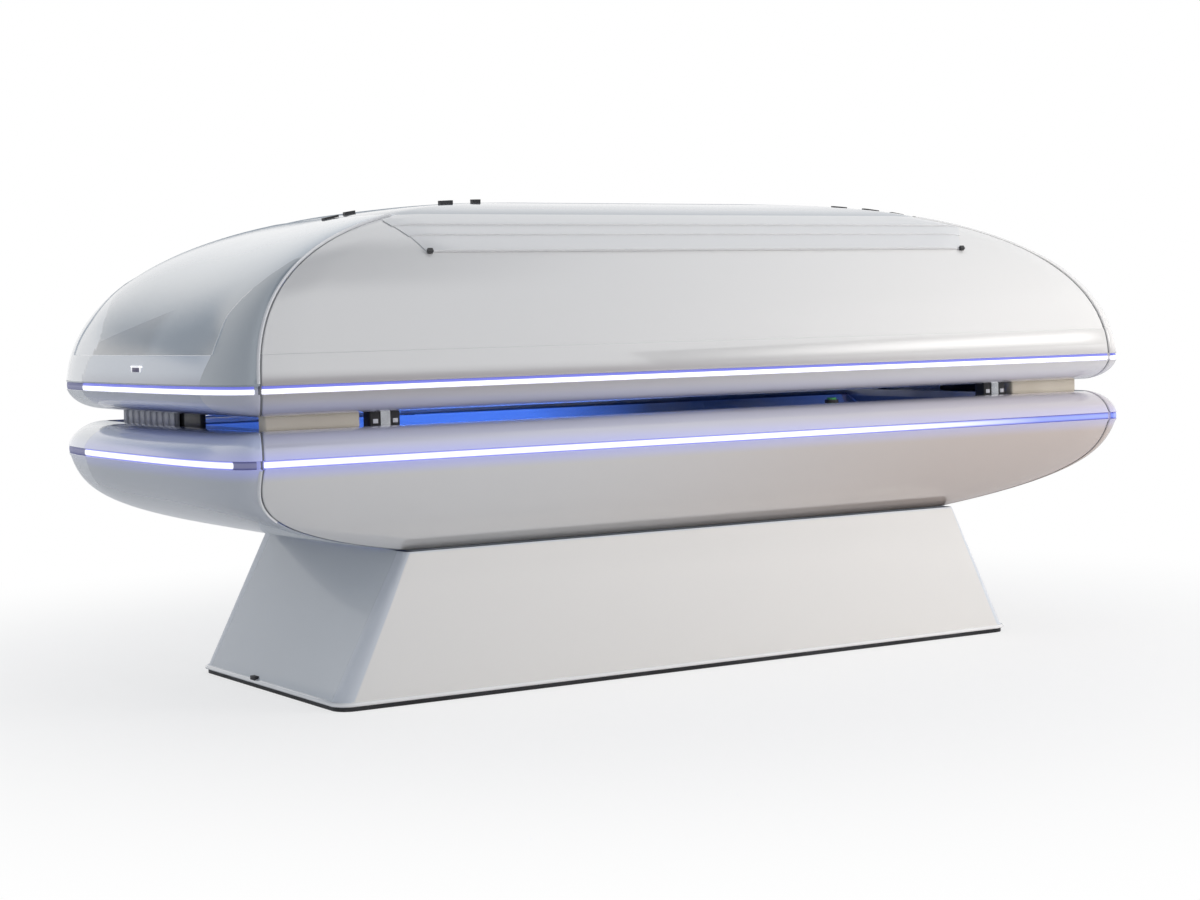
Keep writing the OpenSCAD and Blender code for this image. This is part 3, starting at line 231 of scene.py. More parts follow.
def pedestal_ring(share, inset):
    """Outline of the pedestal at a share of its height, clockwise, with 13 points in each corner."""
    half = pedestal_half(share) - inset
    corner = foot_corner + (crown_corner - foot_corner) * share - inset
    ring = []
    for way_x, way_y, first in ((-1, -1, 270), (-1, 1, 180), (1, 1, 90), (1, -1, 0)):
        centre = np.array([way_x * (half[0] - corner), way_y * (half[1] - corner)])
        for k in range(13):
            angle = math.radians(first - 7.5 * k)
            ring.append(centre + corner * np.array([math.cos(angle), math.sin(angle)]))
    return np.array(ring)


def pedestal_wrap(first, last, ends):
    """Outer and inner points of one folded panel, between two places on the ring."""
    shares = [0.0, 0.012, 0.024, 0.03, 0.034, 0.1, 0.3, 0.5, 0.7, 0.9, 0.985, 1.0]
    foot_roll = [-0.0022, -0.0022, -0.0021, -0.0012, 0, 0, 0, 0, 0, 0, 0, 0.0008]
    grids = []
    for back in (0.0, sheet_thick):
        rows = []
        for share, roll in zip(shares, foot_roll):
            ring = pedestal_ring(share, back if back else roll)
            line = [ring[i % len(ring)] for i in range(first, last + 1)]
            line[0], line[-1] = (line[0][0], ends[0]), (line[-1][0], ends[1])
            rows.append([(x, y, foot_z + (crown_z - foot_z) * share) for x, y in line])
        grids.append(np.array(rows))
    return grids


satin_white = finish("satin_white_coat", (0.86, 0.845, 0.82), (0.85, 0.835, 0.81), 0.28, 0.28, 300, 0.0, 0.8,
                     coat=0.3)
pedestal_end_shade = finish("pedestal_end_painted_shade", (0.69, 0.73, 0.77), (0.68, 0.715, 0.755), 0.24, 0.25, 300, 0.006,
                    0.8, coat=0.3)
# Painted shade: where the fold mask marks the rounded corners, the satin white turns blue-grey.
tinted(satin_white, carried(satin_white, "fold"), (0.70, 0.74, 0.80))


def block_mesh(low, high, round_by, steps=3):
    """Points and faces of a block with rounded edges."""
    shape = bmesh.new()
    bmesh.ops.create_cube(shape, size=1.0)
    for v in shape.verts:
        v.co = Vector([lo + (hi - lo) * (c + 0.5) for c, lo, hi in zip(v.co, low, high)])
    if round_by:
        edges = list(shape.edges)
        bmesh.ops.bevel(shape, geom=edges, offset=round_by, segments=steps, profile=0.5, affect="EDGES")
    points = [v.co[:] for v in shape.verts]
    faces = [[v.index for v in f.verts] for f in shape.faces]
    shape.free()
    return points, faces


hatch_low, hatch_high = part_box("service_hatch")
hatch_clear = Vector((0.0003, 0.02, 0.0003))
for name, first, last, ends, coat, slot_name in (
    ("pedestal_front_panel", 38, 65, (-fold_y, -fold_y), satin_white, "pedestal_white"),
    ("pedestal_rear_panel", 12, 39, (fold_y, fold_y), satin_white, "pedestal_white"),
    ("pedestal_left_end", 12, 13, (-end_y, end_y), pedestal_end_shade, "pedestal_end"),
    ("pedestal_right_end", 38, 39, (end_y, -end_y), pedestal_end_shade, "pedestal_end"),
):
    folded = piece(name + "_sheet", *skin_and_back(*pedestal_wrap(first, last, ends)), coat, slot_name)
    if name == "pedestal_rear_panel":
        block = block_mesh(hatch_low - hatch_clear, hatch_high + hatch_clear, 0)
        opening = piece("hatch_opening", *block, coat, slot_name)
        folded.modifiers.new("opening", "BOOLEAN").object = opening
        settled(folded)
        bpy.data.objects.remove(opening)
    # The fold mask marks the rounded corners of each panel, where the painted shade goes.
    fold = folded.data.attributes.new("fold", "FLOAT", "POINT")
    for spot, v in zip(fold.data, folded.data.vertices):
        front_y = pedestal_half(pedestal_share(v.co.z))[1] - 0.0006
        spot.value = 1.0 if abs(v.co.y) < front_y else 0.0
    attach(folded, "base")
    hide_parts(name)

# White vinyl edging is pressed on round the foot of the panels, as a half-round bead that springs
# a few millimetres proud of them.
edging_white = finish("edging_white", (0.95, 0.95, 0.95), (0.92, 0.92, 0.925), 0.10, 0.14, 600, 0.01, 3.0,
                      coat=1.0)
edging_z, edging_half, edging_foot, edging_crown = 0.0130, 0.0038, 0.0024, 0.0032
edge_rows = [[], []]
for turn in np.radians(np.linspace(-90, 90, 9)):
    z = edging_z + edging_half * math.sin(turn)
    for rows, out in zip(edge_rows, (edging_foot + edging_crown * math.cos(turn), -0.001)):
        rows.append([(x, y, z) for x, y in pedestal_ring(pedestal_share(z), -out)])
edging = skin_and_back(*map(np.array, edge_rows), ring=True)
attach(piece("foot_edging", *edging, edging_white, "pedestal_white"), "base")

# A small cable slot is punched in the foot of the left end panel, and a moulded rubber grommet is
# pushed into it.
grommet_rubber = finish("grommet_rubber", (0.03, 0.03, 0.035), (0.05, 0.05, 0.055), 0.5, 0.7, 700, 0.3)
slot_y, slot_z = 0.062, 0.0175
slot_x = -pedestal_half(pedestal_share(slot_z))[0]
grommet = block_mesh((slot_x - 0.0068, slot_y - 0.012, slot_z - 0.006),
                     (slot_x + 0.003, slot_y + 0.012, slot_z + 0.005), 0.0012)
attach(piece("foot_grommet", *grommet, grommet_rubber, "black_rubber"), "base")

# The plinth is a ring of black moulded rubber-faced board that the pedestal stands on, and the
# welded tube frame, the plates and the bed's own frame are painted slate grey inside the panels.


def coat_nodes(material, *names):
    """Gives CAD nodes that keep their own shape a finish."""
    for node_name in names:
        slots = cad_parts[node_name].data.materials
        slots.clear()
        slots.append(material)


plinth_black = finish("plinth_black", (0.012, 0.012, 0.014), (0.03, 0.03, 0.034), 0.35, 0.6, 500, 0.2, 4.0)
coat_nodes(plinth_black, "plinth")
frame_paint = finish("frame_paint", (0.17, 0.19, 0.22), (0.13, 0.15, 0.175), 0.35, 0.55, 420, 0.25, 5.0)
coat_nodes(frame_paint, "pedestal_frame", "pedestal_top_plate", "control_box")
coat_nodes(frame_paint, "bed_pan", "bed_frame", "canopy_frame")

# The service hatch in the rear panel is a coated plate held by four pan-head screws. It carries
# the mains inlet with its three pins and the red rocker switch; three supplies stand inside.
hatch_coat = finish("hatch_coat", (0.70, 0.70, 0.69), (0.65, 0.65, 0.645), 0.28, 0.4, 1400, 0.08, 4.0)
coat_nodes(hatch_coat, "service_hatch")
screw_steel = finish("screw_steel", (0.62, 0.62, 0.63), (0.48, 0.48, 0.50), 0.22, 0.38, 1600, 0.1, 30.0,
                     metal=1.0)
coat_nodes(screw_steel, "hatch_screws", "bed_hinge_screws", "hinge_pins")
inlet_black = finish("inlet_black", (0.018, 0.018, 0.02), (0.035, 0.035, 0.038), 0.3, 0.5, 1200, 0.2, 12.0)
coat_nodes(inlet_black, "mains_inlet")
rocker_red = finish("rocker_red", (0.52, 0.02, 0.015), (0.40, 0.015, 0.012), 0.16, 0.3, 900, 0.05, 20.0,
                    coat=0.5)
coat_nodes(rocker_red, "mains_rocker")
supply_alloy = finish("supply_alloy", (0.62, 0.63, 0.64), (0.52, 0.53, 0.55), 0.3, 0.5, 300, 0.2, 8.0,
                      metal=0.9)
coat_nodes(supply_alloy, "power_supplies")

# Shells of the bed: long front and rear mouldings and two swept end caps, 4 mm thick, in high
# gloss acrylic. Their edges roll in at the seams, and a channel for the glow strip runs round.
half_length, half_width, end_bulge, wall, seam_gap = 1.0, 0.451, 0.076, 0.004, 0.003
bed_strip_z = 0.4695
channel_edge = ((0.0080, 0.0), (0.0073, 0.0003), (0.0070, 0.0012), (0.0070, 0.0080))
rim_seam_in, rim_end_in, rim_side_in = 0.025, 0.086, 0.066
bed_rim, bed_belt, bed_drop, bed_end_taper = 0.0555, 0.014, 0.1835, 0.056
bed_bow = bed_drop / 0.706
edge_roll, corner_turns = 0.003, 25
roll_turns = np.radians([0, 22.5, 45, 67.5, 90])
edge_out, edge_in = edge_roll * (1 - np.cos(roll_turns)), edge_roll * (1 - np.sin(roll_turns))


def fall(share, power, root):
    """How wide a rounded outline still is at a share of its height."""
    return (1 - share ** power) ** (1 / root)


def belt_levels(strip_z, rim, inset):
    """Rows [height, seam half length, overall half length, half width] from the rim to the strip."""
    way = 1 if rim > 0 else -1
    rows = []
    for turn in np.radians(np.linspace(90, 15, 18)):
        back = 1 - math.cos(turn)
        rows.append((strip_z + (rim - way * inset) * math.sin(turn), half_length - rim_seam_in * back,
                     half_length + end_bulge - inset - (rim_end_in - inset) * back,
                     half_width - inset - (rim_side_in - inset) * back))
    for sign, edge in ((way, channel_edge), (-way, channel_edge[::-1])):
        for rise, depth in edge:
            deep = inset + depth
            rows.append((strip_z + sign * (rise + inset), half_length, half_length + end_bulge - deep,
                         half_width - deep))
    return rows


def bed_seam(drop):
    """Half length of the bed to its seam, a drop below the strip."""
    return half_length * (1 - 1.138 * (drop / bed_bow) ** 3.4)


def bed_side(drop):
    """Share of the bed's half width, a drop below the strip."""
    return fall(drop / bed_bow, 1.3, 2.4)


def bed_levels(inset):
    """The same rows for the whole bed, down to the foot of its shells."""
    rows = belt_levels(bed_strip_z, bed_rim, inset)
    for k in range(37):
        drop = bed_belt + (bed_drop - bed_belt) * math.sin(math.radians(k * 2.5))
        end = bed_seam(drop) + end_bulge - bed_end_taper * drop / bed_drop - inset
        rows.append((bed_strip_z - drop, bed_seam(drop), end, (half_width - inset) * bed_side(drop)))
    return np.array(rows)


def long_points(levels, base=0.0):
    """Points of a long front moulding: rolled edges at both seams, straight between them."""
    plain = levels(base)
    reach = plain[:, 1] - seam_gap / 2
    columns = []
    for out, back in zip(edge_out, edge_in if base < wall else np.zeros(5)):
        rows = levels(base + back)
        columns.append(np.stack([-(reach - out), -rows[:, 3], rows[:, 0]], 1))
    for share in np.linspace(-1, 1, 25)[1:-1]:
        columns.append(np.stack([share * (reach - edge_roll), -plain[:, 3], plain[:, 0]], 1))
    columns += [np.stack([-c[:, 0], c[:, 1], c[:, 2]], 1) for c in columns[4::-1]]
    return np.stack(columns, 1)


def bowed(turn):
    """Shares outwards and sideways on the bowed line of an end, at a turn from its middle."""
    return np.cos(turn) ** (2 / 3), np.sign(turn) * np.abs(np.sin(turn)) ** (2 / 3)


def cap_points(levels, base=0.0, bend=None):
    """Points of a right end cap, from its front seam round to its rear seam, creased at a bend."""
    plain = levels(base)
    bend = np.full(len(plain), math.radians(46)) if bend is None else bend
    crisp, first = math.radians(0.35), math.radians(88.6)
    turns = [first + (bend + crisp - first) * share for share in np.linspace(0, 1, corner_turns)]
    turns += [bend] + [(bend - crisp) * share for share in np.linspace(1, 0, 31)]
    turns = np.stack(turns + [-t for t in turns[-2::-1]], 1)
    seam = plain[:, 1] + seam_gap / 2
    reach = plain[:, 2] - seam
    out, wide = bowed(turns)
    body = np.stack([seam[:, None] + reach[:, None] * out, -plain[:, 3:4] * wide,
                     np.repeat(plain[:, 0:1], turns.shape[1], 1)], 2)
    edges = []
    for far, back in zip(edge_out, edge_in if base < wall else np.zeros(5)):
        rows = levels(base + back)
        share = np.clip(far / reach, 0, 1)
        edges.append(np.stack([seam + far, -rows[:, 3] * (1 - share ** 3) ** (1 / 3), rows[:, 0]], 1))
    front = np.stack(edges, 1)
    rear = front[:, ::-1] * np.array([1, -1, 1])
    return np.concatenate([front, body, rear], 1)


def eased(tree, value, low, high, start=0.0, end=1.0):
    """Maps a value from one range to another, softly at both ends."""
    return scaled(tree, value, low, high, start, end, "SMOOTHSTEP")


def axes_of(tree, place=None):
    """X, Y and Z over a piece, or of another place."""
    place = place or new_node(tree, "ShaderNodeTexCoord").outputs["Object"]
    return new_node(tree, "ShaderNodeSeparateXYZ", {"Vector": place}).outputs


def reckoned(tree, way, *values):
    """The outcome of a sum on one or two values."""
    return new_node(tree, "ShaderNodeMath", dict(enumerate(values)), operation=way).outputs[0]


# Masks for painted light and shade on the shells: a painted glow or band beside the strip (Halo), a painted
# glow beside the gap, painted light rising up the caps, a painted highlight at their top, a painted
# reflection along the rim band, a darker painted reflection in a wedge, and painted warm light towards the
# right.
halo_group = node_group(
    "strip_light", "ShaderNodeTree", (("Strip Height", "Float"), ("Rim Height", "Float")),
    [(label, "Float") for label in ("Halo", "Belt", "Rise", "Crown", "Rim Band", "Warm", "Wedge")],
)
halo_in = new_node(halo_group, "NodeGroupInput").outputs
halo_place = new_node(halo_group, "ShaderNodeTexCoord").outputs["Object"]
halo_axes = axes_of(halo_group, halo_place)
halo_masks = {label: eased(halo_group, halo_axes[axis], low, high) for label, axis, low, high in (
    ("Rise", "Z", 0.67, 0.93), ("Crown", "Z", 0.890, 0.925), ("Rim Band", "Z", 0.6605, 0.6598),
    ("Warm", "X", -0.6, 0.9))}
wedge_slope = new_node(halo_group, "ShaderNodeVectorMath", {0: halo_place, 1: (0, -0.184, -1)},
                       operation="DOT_PRODUCT").outputs["Value"]
halo_masks["Wedge"] = reckoned(halo_group, "MULTIPLY", eased(halo_group, wedge_slope, -0.7235, -0.7225),
                               eased(halo_group, halo_axes["Y"], -0.125, -0.045))
halo_along = eased(halo_group, halo_axes["X"], -1.1, 1.0, 1.0, 0.5)
for label, middle, reach in (("Halo", "Strip Height", 0.034), ("Belt", "Rim Height", 0.062)):
    away = reckoned(halo_group, "ABSOLUTE", reckoned(halo_group, "SUBTRACT", halo_axes["Z"], halo_in[middle]))
    fade = eased(halo_group, away, 0.006, reach, 1.0, 0.0)
    halo_masks[label] = reckoned(halo_group, "MULTIPLY", fade, halo_along)
new_node(halo_group, "NodeGroupOutput", halo_masks)


def shell_gloss(name, light, dark, heights, halo, belt, glow_power=0.0, tones=()):
    """High gloss shell with painted light and shade: tints beside its strip and the gap, a painted glow, and
    the given painted tints and zones.
    """
    material = finish(name, light, dark, 0.10, 0.17, 260, 0.012, 0.9, coat=1.0)
    tree = material.node_tree
    inputs = {"Strip Height": heights[0], "Rim Height": heights[1]}
    lit = new_node(tree, "ShaderNodeGroup", inputs, node_tree=halo_group).outputs
    for mask, tint in (*tones, ("Belt", belt), ("Halo", halo)):
        tinted(material, lit[mask], tint)
    tinted(material, carried(material, "zone"), carried(material, "zone_tint", "Color"))
    # Painted glow: the shell itself emits violet light beside its strip.
    feed(surface(material), {
        "Emission Color": blended(tree, lit["Halo"], (0, 0, 0), (0.16, 0.18, 0.62)),
        "Emission Strength": glow_power,
        "Coat IOR": 1.75,
    })
    return material


# Painted light on the bed: a painted violet glow beside the strip, a painted lilac glow beside the gap, and a
# darker warm tone towards the right for the warm low light. The left caps take a darker blue-grey copy of the
# gloss as painted shade.
bed_heights = (bed_strip_z, 0.518)
bed_white = shell_gloss("bed_shell_gloss", (0.72, 0.715, 0.71), (0.70, 0.695, 0.69), bed_heights,
                        (0.55, 0.57, 0.92), (0.64, 0.65, 0.79), 0.20, [("Warm", (0.57, 0.485, 0.44))])
bed_cap_painted_shade = shell_gloss("bed_cap_painted_shade", (0.52, 0.55, 0.60), (0.50, 0.53, 0.58), bed_heights,
                            (0.50, 0.53, 0.88), (0.62, 0.69, 0.92), 0.15)
corner_z = [0.614, 0.635, 0.655, 0.693, 0.728, 0.757, 0.786, 0.810, 0.830]
corner_y = [0.329, 0.340, 0.351, 0.352, 0.342, 0.348, 0.359, 0.361, 0.354]
rear_zone_z = [0.29, 0.46, 0.52, 0.61, 0.66, 0.69, 0.74, 0.80]
rear_zone_y = [0.30, 0.255, 0.24, 0.255, 0.215, 0.205, 0.26, 0.36]


def painted_zones(shell):
    """The left caps get painted light and shade in zones: painted shade on the swept front corners, painted
    light on the rear corners and low at the front corner below the strip.
    """
    mask = shell.data.attributes.new("zone", "FLOAT", "POINT")
    tint = shell.data.attributes.new("zone_tint", "FLOAT_COLOR", "POINT")
    for spot, shade, v in zip(mask.data, tint.data, shell.data.vertices):
        y, z = v.co.y, v.co.z
        spot.value, shade.color = 0.0, (0.5, 0.5, 0.5, 1)
        if "left_cap" not in shell.name:
            continue
        if y > np.interp(z, rear_zone_z, rear_zone_y) and z < 0.80:
            spot.value, shade.color = 1.0, (0.80, 0.83, 0.86, 1)
        elif 0.6 < z < 0.84 and -y - np.interp(z, corner_z, corner_y) > 2e-4:
            spot.value, shade.color = 1.0, (0.31, 0.36, 0.41, 1)
        elif 0.54 < z < 0.592 and y < -0.33:
            spot.value, shade.color = 0.8, (0.50, 0.50, 0.57, 1)


flip_y, flip_x = np.array([1, -1, 1]), np.array([-1, 1, 1])


def fit_shells(part, body, front, cap, gloss, shaded_left_gloss):
    """Both long mouldings and both caps of a shell, mirrored from the front one and the right one."""
    for side, grids, flip, coat, slot_name in (
        ("_front_panel", front, 1, gloss, "shell_white"),
        ("_rear_panel", front, flip_y, gloss, "shell_white"),
        ("_right_cap", cap, 1, gloss, "shell_cap"),
        ("_left_cap", cap, flip_x, shaded_left_gloss, "shell_cap"),
    ):
        name = part + side
        shell = piece(name + "_shell", *skin_and_back(grids[0] * flip, grids[1] * flip), coat, slot_name)
        painted_zones(shell)
        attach(shell, body)
        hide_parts(name)


bed_front = (long_points(bed_levels), long_points(bed_levels, wall))
bed_end = (cap_points(bed_levels), cap_points(bed_levels, wall))
fit_shells("bed", "base", bed_front, bed_end, bed_white, bed_cap_painted_shade)

# Soft grey gaskets lie in the seams, a little below the shells' surface. A pale extruded bead is
# pressed along the front seam of the left bed cap, below the strip.
gasket_grey = finish("gasket_grey", (0.16, 0.165, 0.175), (0.22, 0.225, 0.235), 0.5, 0.7, 800, 0.1, 6.0)
coat_nodes(gasket_grey, "bed_seam_gaskets", "canopy_seam_gaskets")
bead_white = finish("bead_white", (0.78, 0.79, 0.81), (0.72, 0.73, 0.76), 0.15, 0.25, 900, 0.03, 6.0,
                    coat=0.6)


def lifted(spot, beyond, lift):
    """A point [y, z] off a front moulding, square to the line between two spots [half width, height]."""
    run = (spot[0] - beyond[0], beyond[1] - spot[1])
    size = math.copysign(math.hypot(*run), run[1])
    return -spot[0] - lift * run[1] / size, spot[1] + lift * run[0] / size


def bed_point(drop, lift):
    """A point [y, z] off the bed's front moulding, a drop below the strip."""
    spots = [(half_width * bed_side(d), bed_strip_z - d) for d in (drop, drop + 0.0005)]
    return lifted(*spots, lift)


def seam_bead(stations, seam, point, tall, half, sunk):
    """A crowned bead that lies just outside the left end of a seam."""
    skins = []
    for thick in (tall, -0.0015):
        rows = []
        for at in stations:
            row = []
            for across in np.linspace(-1, 1, 7):
                lift = thick * (1 - across ** 2 if thick > 0 else 1) - sunk
                row.append((-(seam(at) + 0.0051 + half * across), *point(at, lift)))
            rows.append(row)
        skins.append(np.array(rows))
    return skin_and_back(*skins)


bed_bead = seam_bead(np.linspace(0.0095, 0.105, 60), bed_seam, bed_point, 0.0040, 0.0036, 0.0004)
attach(piece("bed_seam_bead", *bed_bead, bead_white, "shell_white", 50), "base")

# Glow strips: opal silicone bars with a white core and a violet edge, pressed into the channels,
# straight along the front and rear and bent round the ends.
canopy_strip_z = 0.5985
strip_face, strip_deep, strip_back, strip_round = 0.0067, 0.001, 0.0077, 0.0012
strip_profile = [(strip_back, -strip_face)]
strip_profile += [(strip_deep + strip_round * abs(h) ** 3, h * strip_face) for h in np.linspace(-1, 1, 9)]
strip_profile += [(strip_back, strip_face)]
full, violet = (1, 1, 1, 1), (0.065, 0.075, 0.36, 1)
soft_blue, dark = (0.14, 0.19, 0.52, 1), (0.06, 0.06, 0.09, 1)


def ramped(tree, value, stops):
    """Colours a value by a row of stops, each a place and a colour."""
    ramp = new_node(tree, "ShaderNodeValToRGB", {"Fac": value})
    elements = ramp.color_ramp.elements
    for at, colour in stops[1:-1]:
        elements.new(at).color = colour
    for element, (at, colour) in ((elements[0], stops[0]), (elements[-1], stops[-1])):
        element.position = at
        element.color = colour
    return ramp.outputs["Color"]


def strip_glow(name, strip_z, white_low, white_high, soft, unlit):
    """Opal bar: white light between two heights, violet beyond them, unlit along some lengths."""
    material = finish(name, (0.16, 0.165, 0.32), (0.14, 0.145, 0.30), 0.35, 0.45, 500, 0.05, 6.0)
    tree = material.node_tree
    axes = axes_of(tree)
    stops = [(max(0.0, white_low - soft), violet), (white_low, full), (white_high, full),
             (min(1.0, white_high + soft), violet)]
    colour = ramped(tree, scaled(tree, axes["Z"], strip_z - strip_face, strip_z + strip_face), stops)
    for axis, low, high, stops in unlit:
        dimmed = ramped(tree, scaled(tree, axes[axis], low, high), stops)
        colour = blended(tree, 1.0, colour, dimmed, "MULTIPLY")
    feed(surface(material), {"Emission Color": colour, "Emission Strength": 1.6})
    return material


def bar_mesh(ends):
    """Points and faces of a closed bar through a row of profiles."""
    count, last = len(ends[0]), len(ends[0]) * (len(ends) - 1)
    faces = []
    for start in range(0, last, count):
        for i in range(count):
            j = (i + 1) % count
            faces.append((start + i, start + j, start + count + j, start + count + i))
    faces += [list(range(count)), list(range(last, last + count))]
    return [point for end in ends for point in end], faces


def straight_strip(strip_z):
    """The bar along the front channel."""
    return bar_mesh([[(x, depth - half_width, strip_z + rise) for depth, rise in strip_profile]
                     for x in np.linspace(-0.9965, 0.9965, 33)])


def bent_strip(strip_z):
    """The same bar bent round the right end."""
    seam = half_length + seam_gap / 2
    ends = []
    for turn in np.radians(np.linspace(-86.5, 86.5, 121)):
        out, wide = bowed(turn)
        ends.append([(seam + (half_length + end_bulge - depth - seam) * out, (half_width - depth) * wide,
                      strip_z + rise) for depth, rise in strip_profile])
    return bar_mesh(ends)


def mirrored(shape, flip):
    """The same points and faces on the other side."""
    return [np.array(point) * flip for point in shape[0]], shape[1]


def joined(*parts):
    """Several loose shapes as one list of points and faces."""
    points, faces = [], []
    for more_points, more_faces in parts:
        start = len(points)
        points += [tuple(p) for p in more_points]
        faces += [[start + i for i in f] for f in more_faces]
    return points, faces


corner_unlit = ("Y", 0.245, 0.450, [(0.0, full), (0.05, dark), (0.92, dark), (0.99, full)])
end_unlit = ("X", -1.0442, -0.995, [(0.0, full), (0.02, dark), (0.90, dark), (0.96, full)])
right_dim = ("X", 0.3, 0.8, [(0.0, full), (1.0, soft_blue)])
bed_unlit = [right_dim, end_unlit, corner_unlit]
bed_strip_glow = strip_glow("bed_strip_light", bed_strip_z, 0.30, 0.70, 0.28, bed_unlit)
canopy_strip_glow = strip_glow("canopy_strip_light", canopy_strip_z, 0.02, 0.58, 0.10, [corner_unlit])
for name, strip_z, light, body in (
    ("bed_glow_strips", bed_strip_z, bed_strip_glow, "base"),
    ("canopy_glow_strips", canopy_strip_z, canopy_strip_glow, "canopy"),
):
    straight, bent = straight_strip(strip_z), bent_strip(strip_z)
    bars = joined(straight, mirrored(straight, flip_y), bent, mirrored(bent, flip_x))
    strips = piece(name + "_bars", *bars, light, "glow_diffuser", 50)
    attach(strips, body)
    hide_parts(name)

# Bed sill: an anodised aluminium frame plate inside the rim, screwed to the posts of the bed's
# frame. The canopy's sill is the same plate on its ribs.
sill_alloy = finish("sill_alloy", (0.50, 0.51, 0.54), (0.42, 0.43, 0.46), 0.30, 0.45, 900, 0.15, 14.0,
                    metal=1.0)
coat_nodes(sill_alloy, "bed_sill", "canopy_sill")

# Lying sheet: 8 mm clear cast acrylic, heat-formed over a mould to a smooth arc, with its long
# edges flame-polished round and the faint smudges of use in its gloss.
clear_sheet = finish("clear_acrylic", (0.97, 0.985, 1.0), (0.94, 0.965, 1.0), 0.01, 0.05, 300, 0.004, 1.5)
feed(surface(clear_sheet), {"Transmission Weight": 1.0, "IOR": 1.49})
bed_arc_z, bed_sheet_radius = 1.1726, 0.7459
acrylic_thick, sheet_edge_y, sheet_half, sheet_round = 0.008, 0.3477, 0.8997, 0.001


def arc_sheet(centre_z, radius, thick, edge_y, half, side, round_by=0.0):
    """A long sheet bent to an arc below (side -1) or above (side 1) its centre line."""
    xs = np.concatenate([[-half], np.linspace(-half + 0.002, half - 0.002, 5), [half]])
    grids = []
    for r, inwards in ((radius, 1), (radius + thick, -1)):
        reach = math.asin(edge_y / r)
        rows = []
        for turn in np.linspace(-reach, reach, 73):
            fit = r + inwards * (round_by if abs(turn) > reach - 1e-6 else 0.0)
            rows.append([(x, fit * math.sin(turn), centre_z + side * fit * math.cos(turn)) for x in xs])
        grids.append(np.array(rows))
    return skin_and_back(*grids)


lying_arc = arc_sheet(bed_arc_z, bed_sheet_radius, acrylic_thick, sheet_edge_y, sheet_half, -1, sheet_round)
lying_sheet = piece("lying_sheet", *lying_arc, clear_sheet, "clear_acrylic", 50)
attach(lying_sheet, "base")
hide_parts("bed_acrylic")

# Lamp tray: bright white enamelled sheet bent to the same curve, with skirts that fold up to the
# sill so that no light is lost; the light of the boards is painted on it as a blue glow, strongest
# over the left half.
light_group = node_group("lit_part", "ShaderNodeTree", (), (("Lit", "Float"),))
light_stops = ((0.20, 0.5), (0.34, 0.95), (0.50, 1.0), (0.57, 0.5), (0.66, 0.02), (0.80, 0.03), (0.92, 0.2))
lit_along = ramped(light_group, scaled(light_group, axes_of(light_group)["X"], -1.0, 1.0),
                   [(at, (shade, shade, shade, 1)) for at, shade in light_stops])
new_node(light_group, "NodeGroupOutput", {"Lit": lit_along})


def lit_finish(name, light, dark, gloss, dull, colour, strength):
    """A finish with the boards' light painted on as a glow, strongest over the left half."""
    material = finish(name, light, dark, gloss, dull, 700, 0.03, 2.5)
    tree = material.node_tree
    lit = new_node(tree, "ShaderNodeGroup", node_tree=light_group).outputs["Lit"]
    glow = {"Emission Color": blended(tree, lit, (0, 0, 0), colour), "Emission Strength": strength}
    feed(surface(material), glow)
    return material


tray_enamel = lit_finish("tray_enamel", (0.82, 0.83, 0.85), (0.76, 0.78, 0.80), 0.12, 0.22,
                         (0.06, 0.20, 0.95), 0.8)
bed_tray_radius, tray_half, tray_edge_y, tray_thick = 0.7899, 0.8847, 0.3147, 0.002
skirt_line, skirt_thick = ((0.3138, 0.4470), (0.3300, 0.4740), (0.3468, 0.5022)), 0.0012
skirts = []
for way in (-1, 1):
    skirts.append(skin_and_back(*(
        np.array([[(x, way * (y + out), z) for x in (-tray_half, 0.0, tray_half)] for y, z in skirt_line])
        for out in (0.0, skirt_thick))))
tray_arc = arc_sheet(bed_arc_z, bed_tray_radius, tray_thick, tray_edge_y, tray_half, -1)
tray = piece("bed_tray_sheet", *joined(tray_arc, *skirts), tray_enamel, "lamp_tray", 50)
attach(tray, "base")
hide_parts("bed_lamp_tray")

# LED boards: white coated circuit boards, each with three rows of sixty surface LEDs that carry a
# square body and a clear dome. The same LED is set on both shells' boards.
# The boards carry the same painted blue glow of their LEDs' light; the LED domes glow as lamps.
board_mask = lit_finish("board_mask", (0.80, 0.82, 0.84), (0.72, 0.75, 0.78), 0.3, 0.45,
                        (0.06, 0.18, 0.9), 0.5)
coat_nodes(board_mask, "bed_led_boards", "canopy_led_boards")
led_dome = lit_finish("led_dome", (0.85, 0.88, 0.95), (0.80, 0.84, 0.93), 0.08, 0.15,
                      (0.10, 0.30, 1.0), 6.0)
board_half, board_thick, half_gap, tray_clear = 0.042, 0.003, 0.006, 0.0003

led_nodes = node_group(
    "set_leds", "GeometryNodeTree",
    (("Geometry", "Geometry"), ("Dome Radius", "Float", 0.0019), ("Body Side", "Float", 0.0050),
     ("Body Height", "Float", 0.0012), ("Finish", "Material")),
    (("Geometry", "Geometry"),),
)
led_in = new_node(led_nodes, "NodeGroupInput").outputs
keep = new_node(led_nodes, "GeometryNodeCaptureAttribute", domain="FACE")
keep.capture_items.new("VECTOR", "Normal")
feed(keep, {"Geometry": led_in["Geometry"],
            "Normal": new_node(led_nodes, "GeometryNodeInputNormal").outputs["Normal"]})
seats = new_node(led_nodes, "GeometryNodeMeshToPoints", {"Mesh": keep.outputs["Geometry"]}, mode="FACES")
facing = new_node(led_nodes, "FunctionNodeAlignRotationToVector", {"Vector": keep.outputs["Normal"]},
                  axis="Z")
dome = new_node(led_nodes, "GeometryNodeMeshCone", {
    "Vertices": 10, "Side Segments": 2, "Radius Top": 0.0009, "Depth": 0.0011,
    "Radius Bottom": led_in["Dome Radius"]})
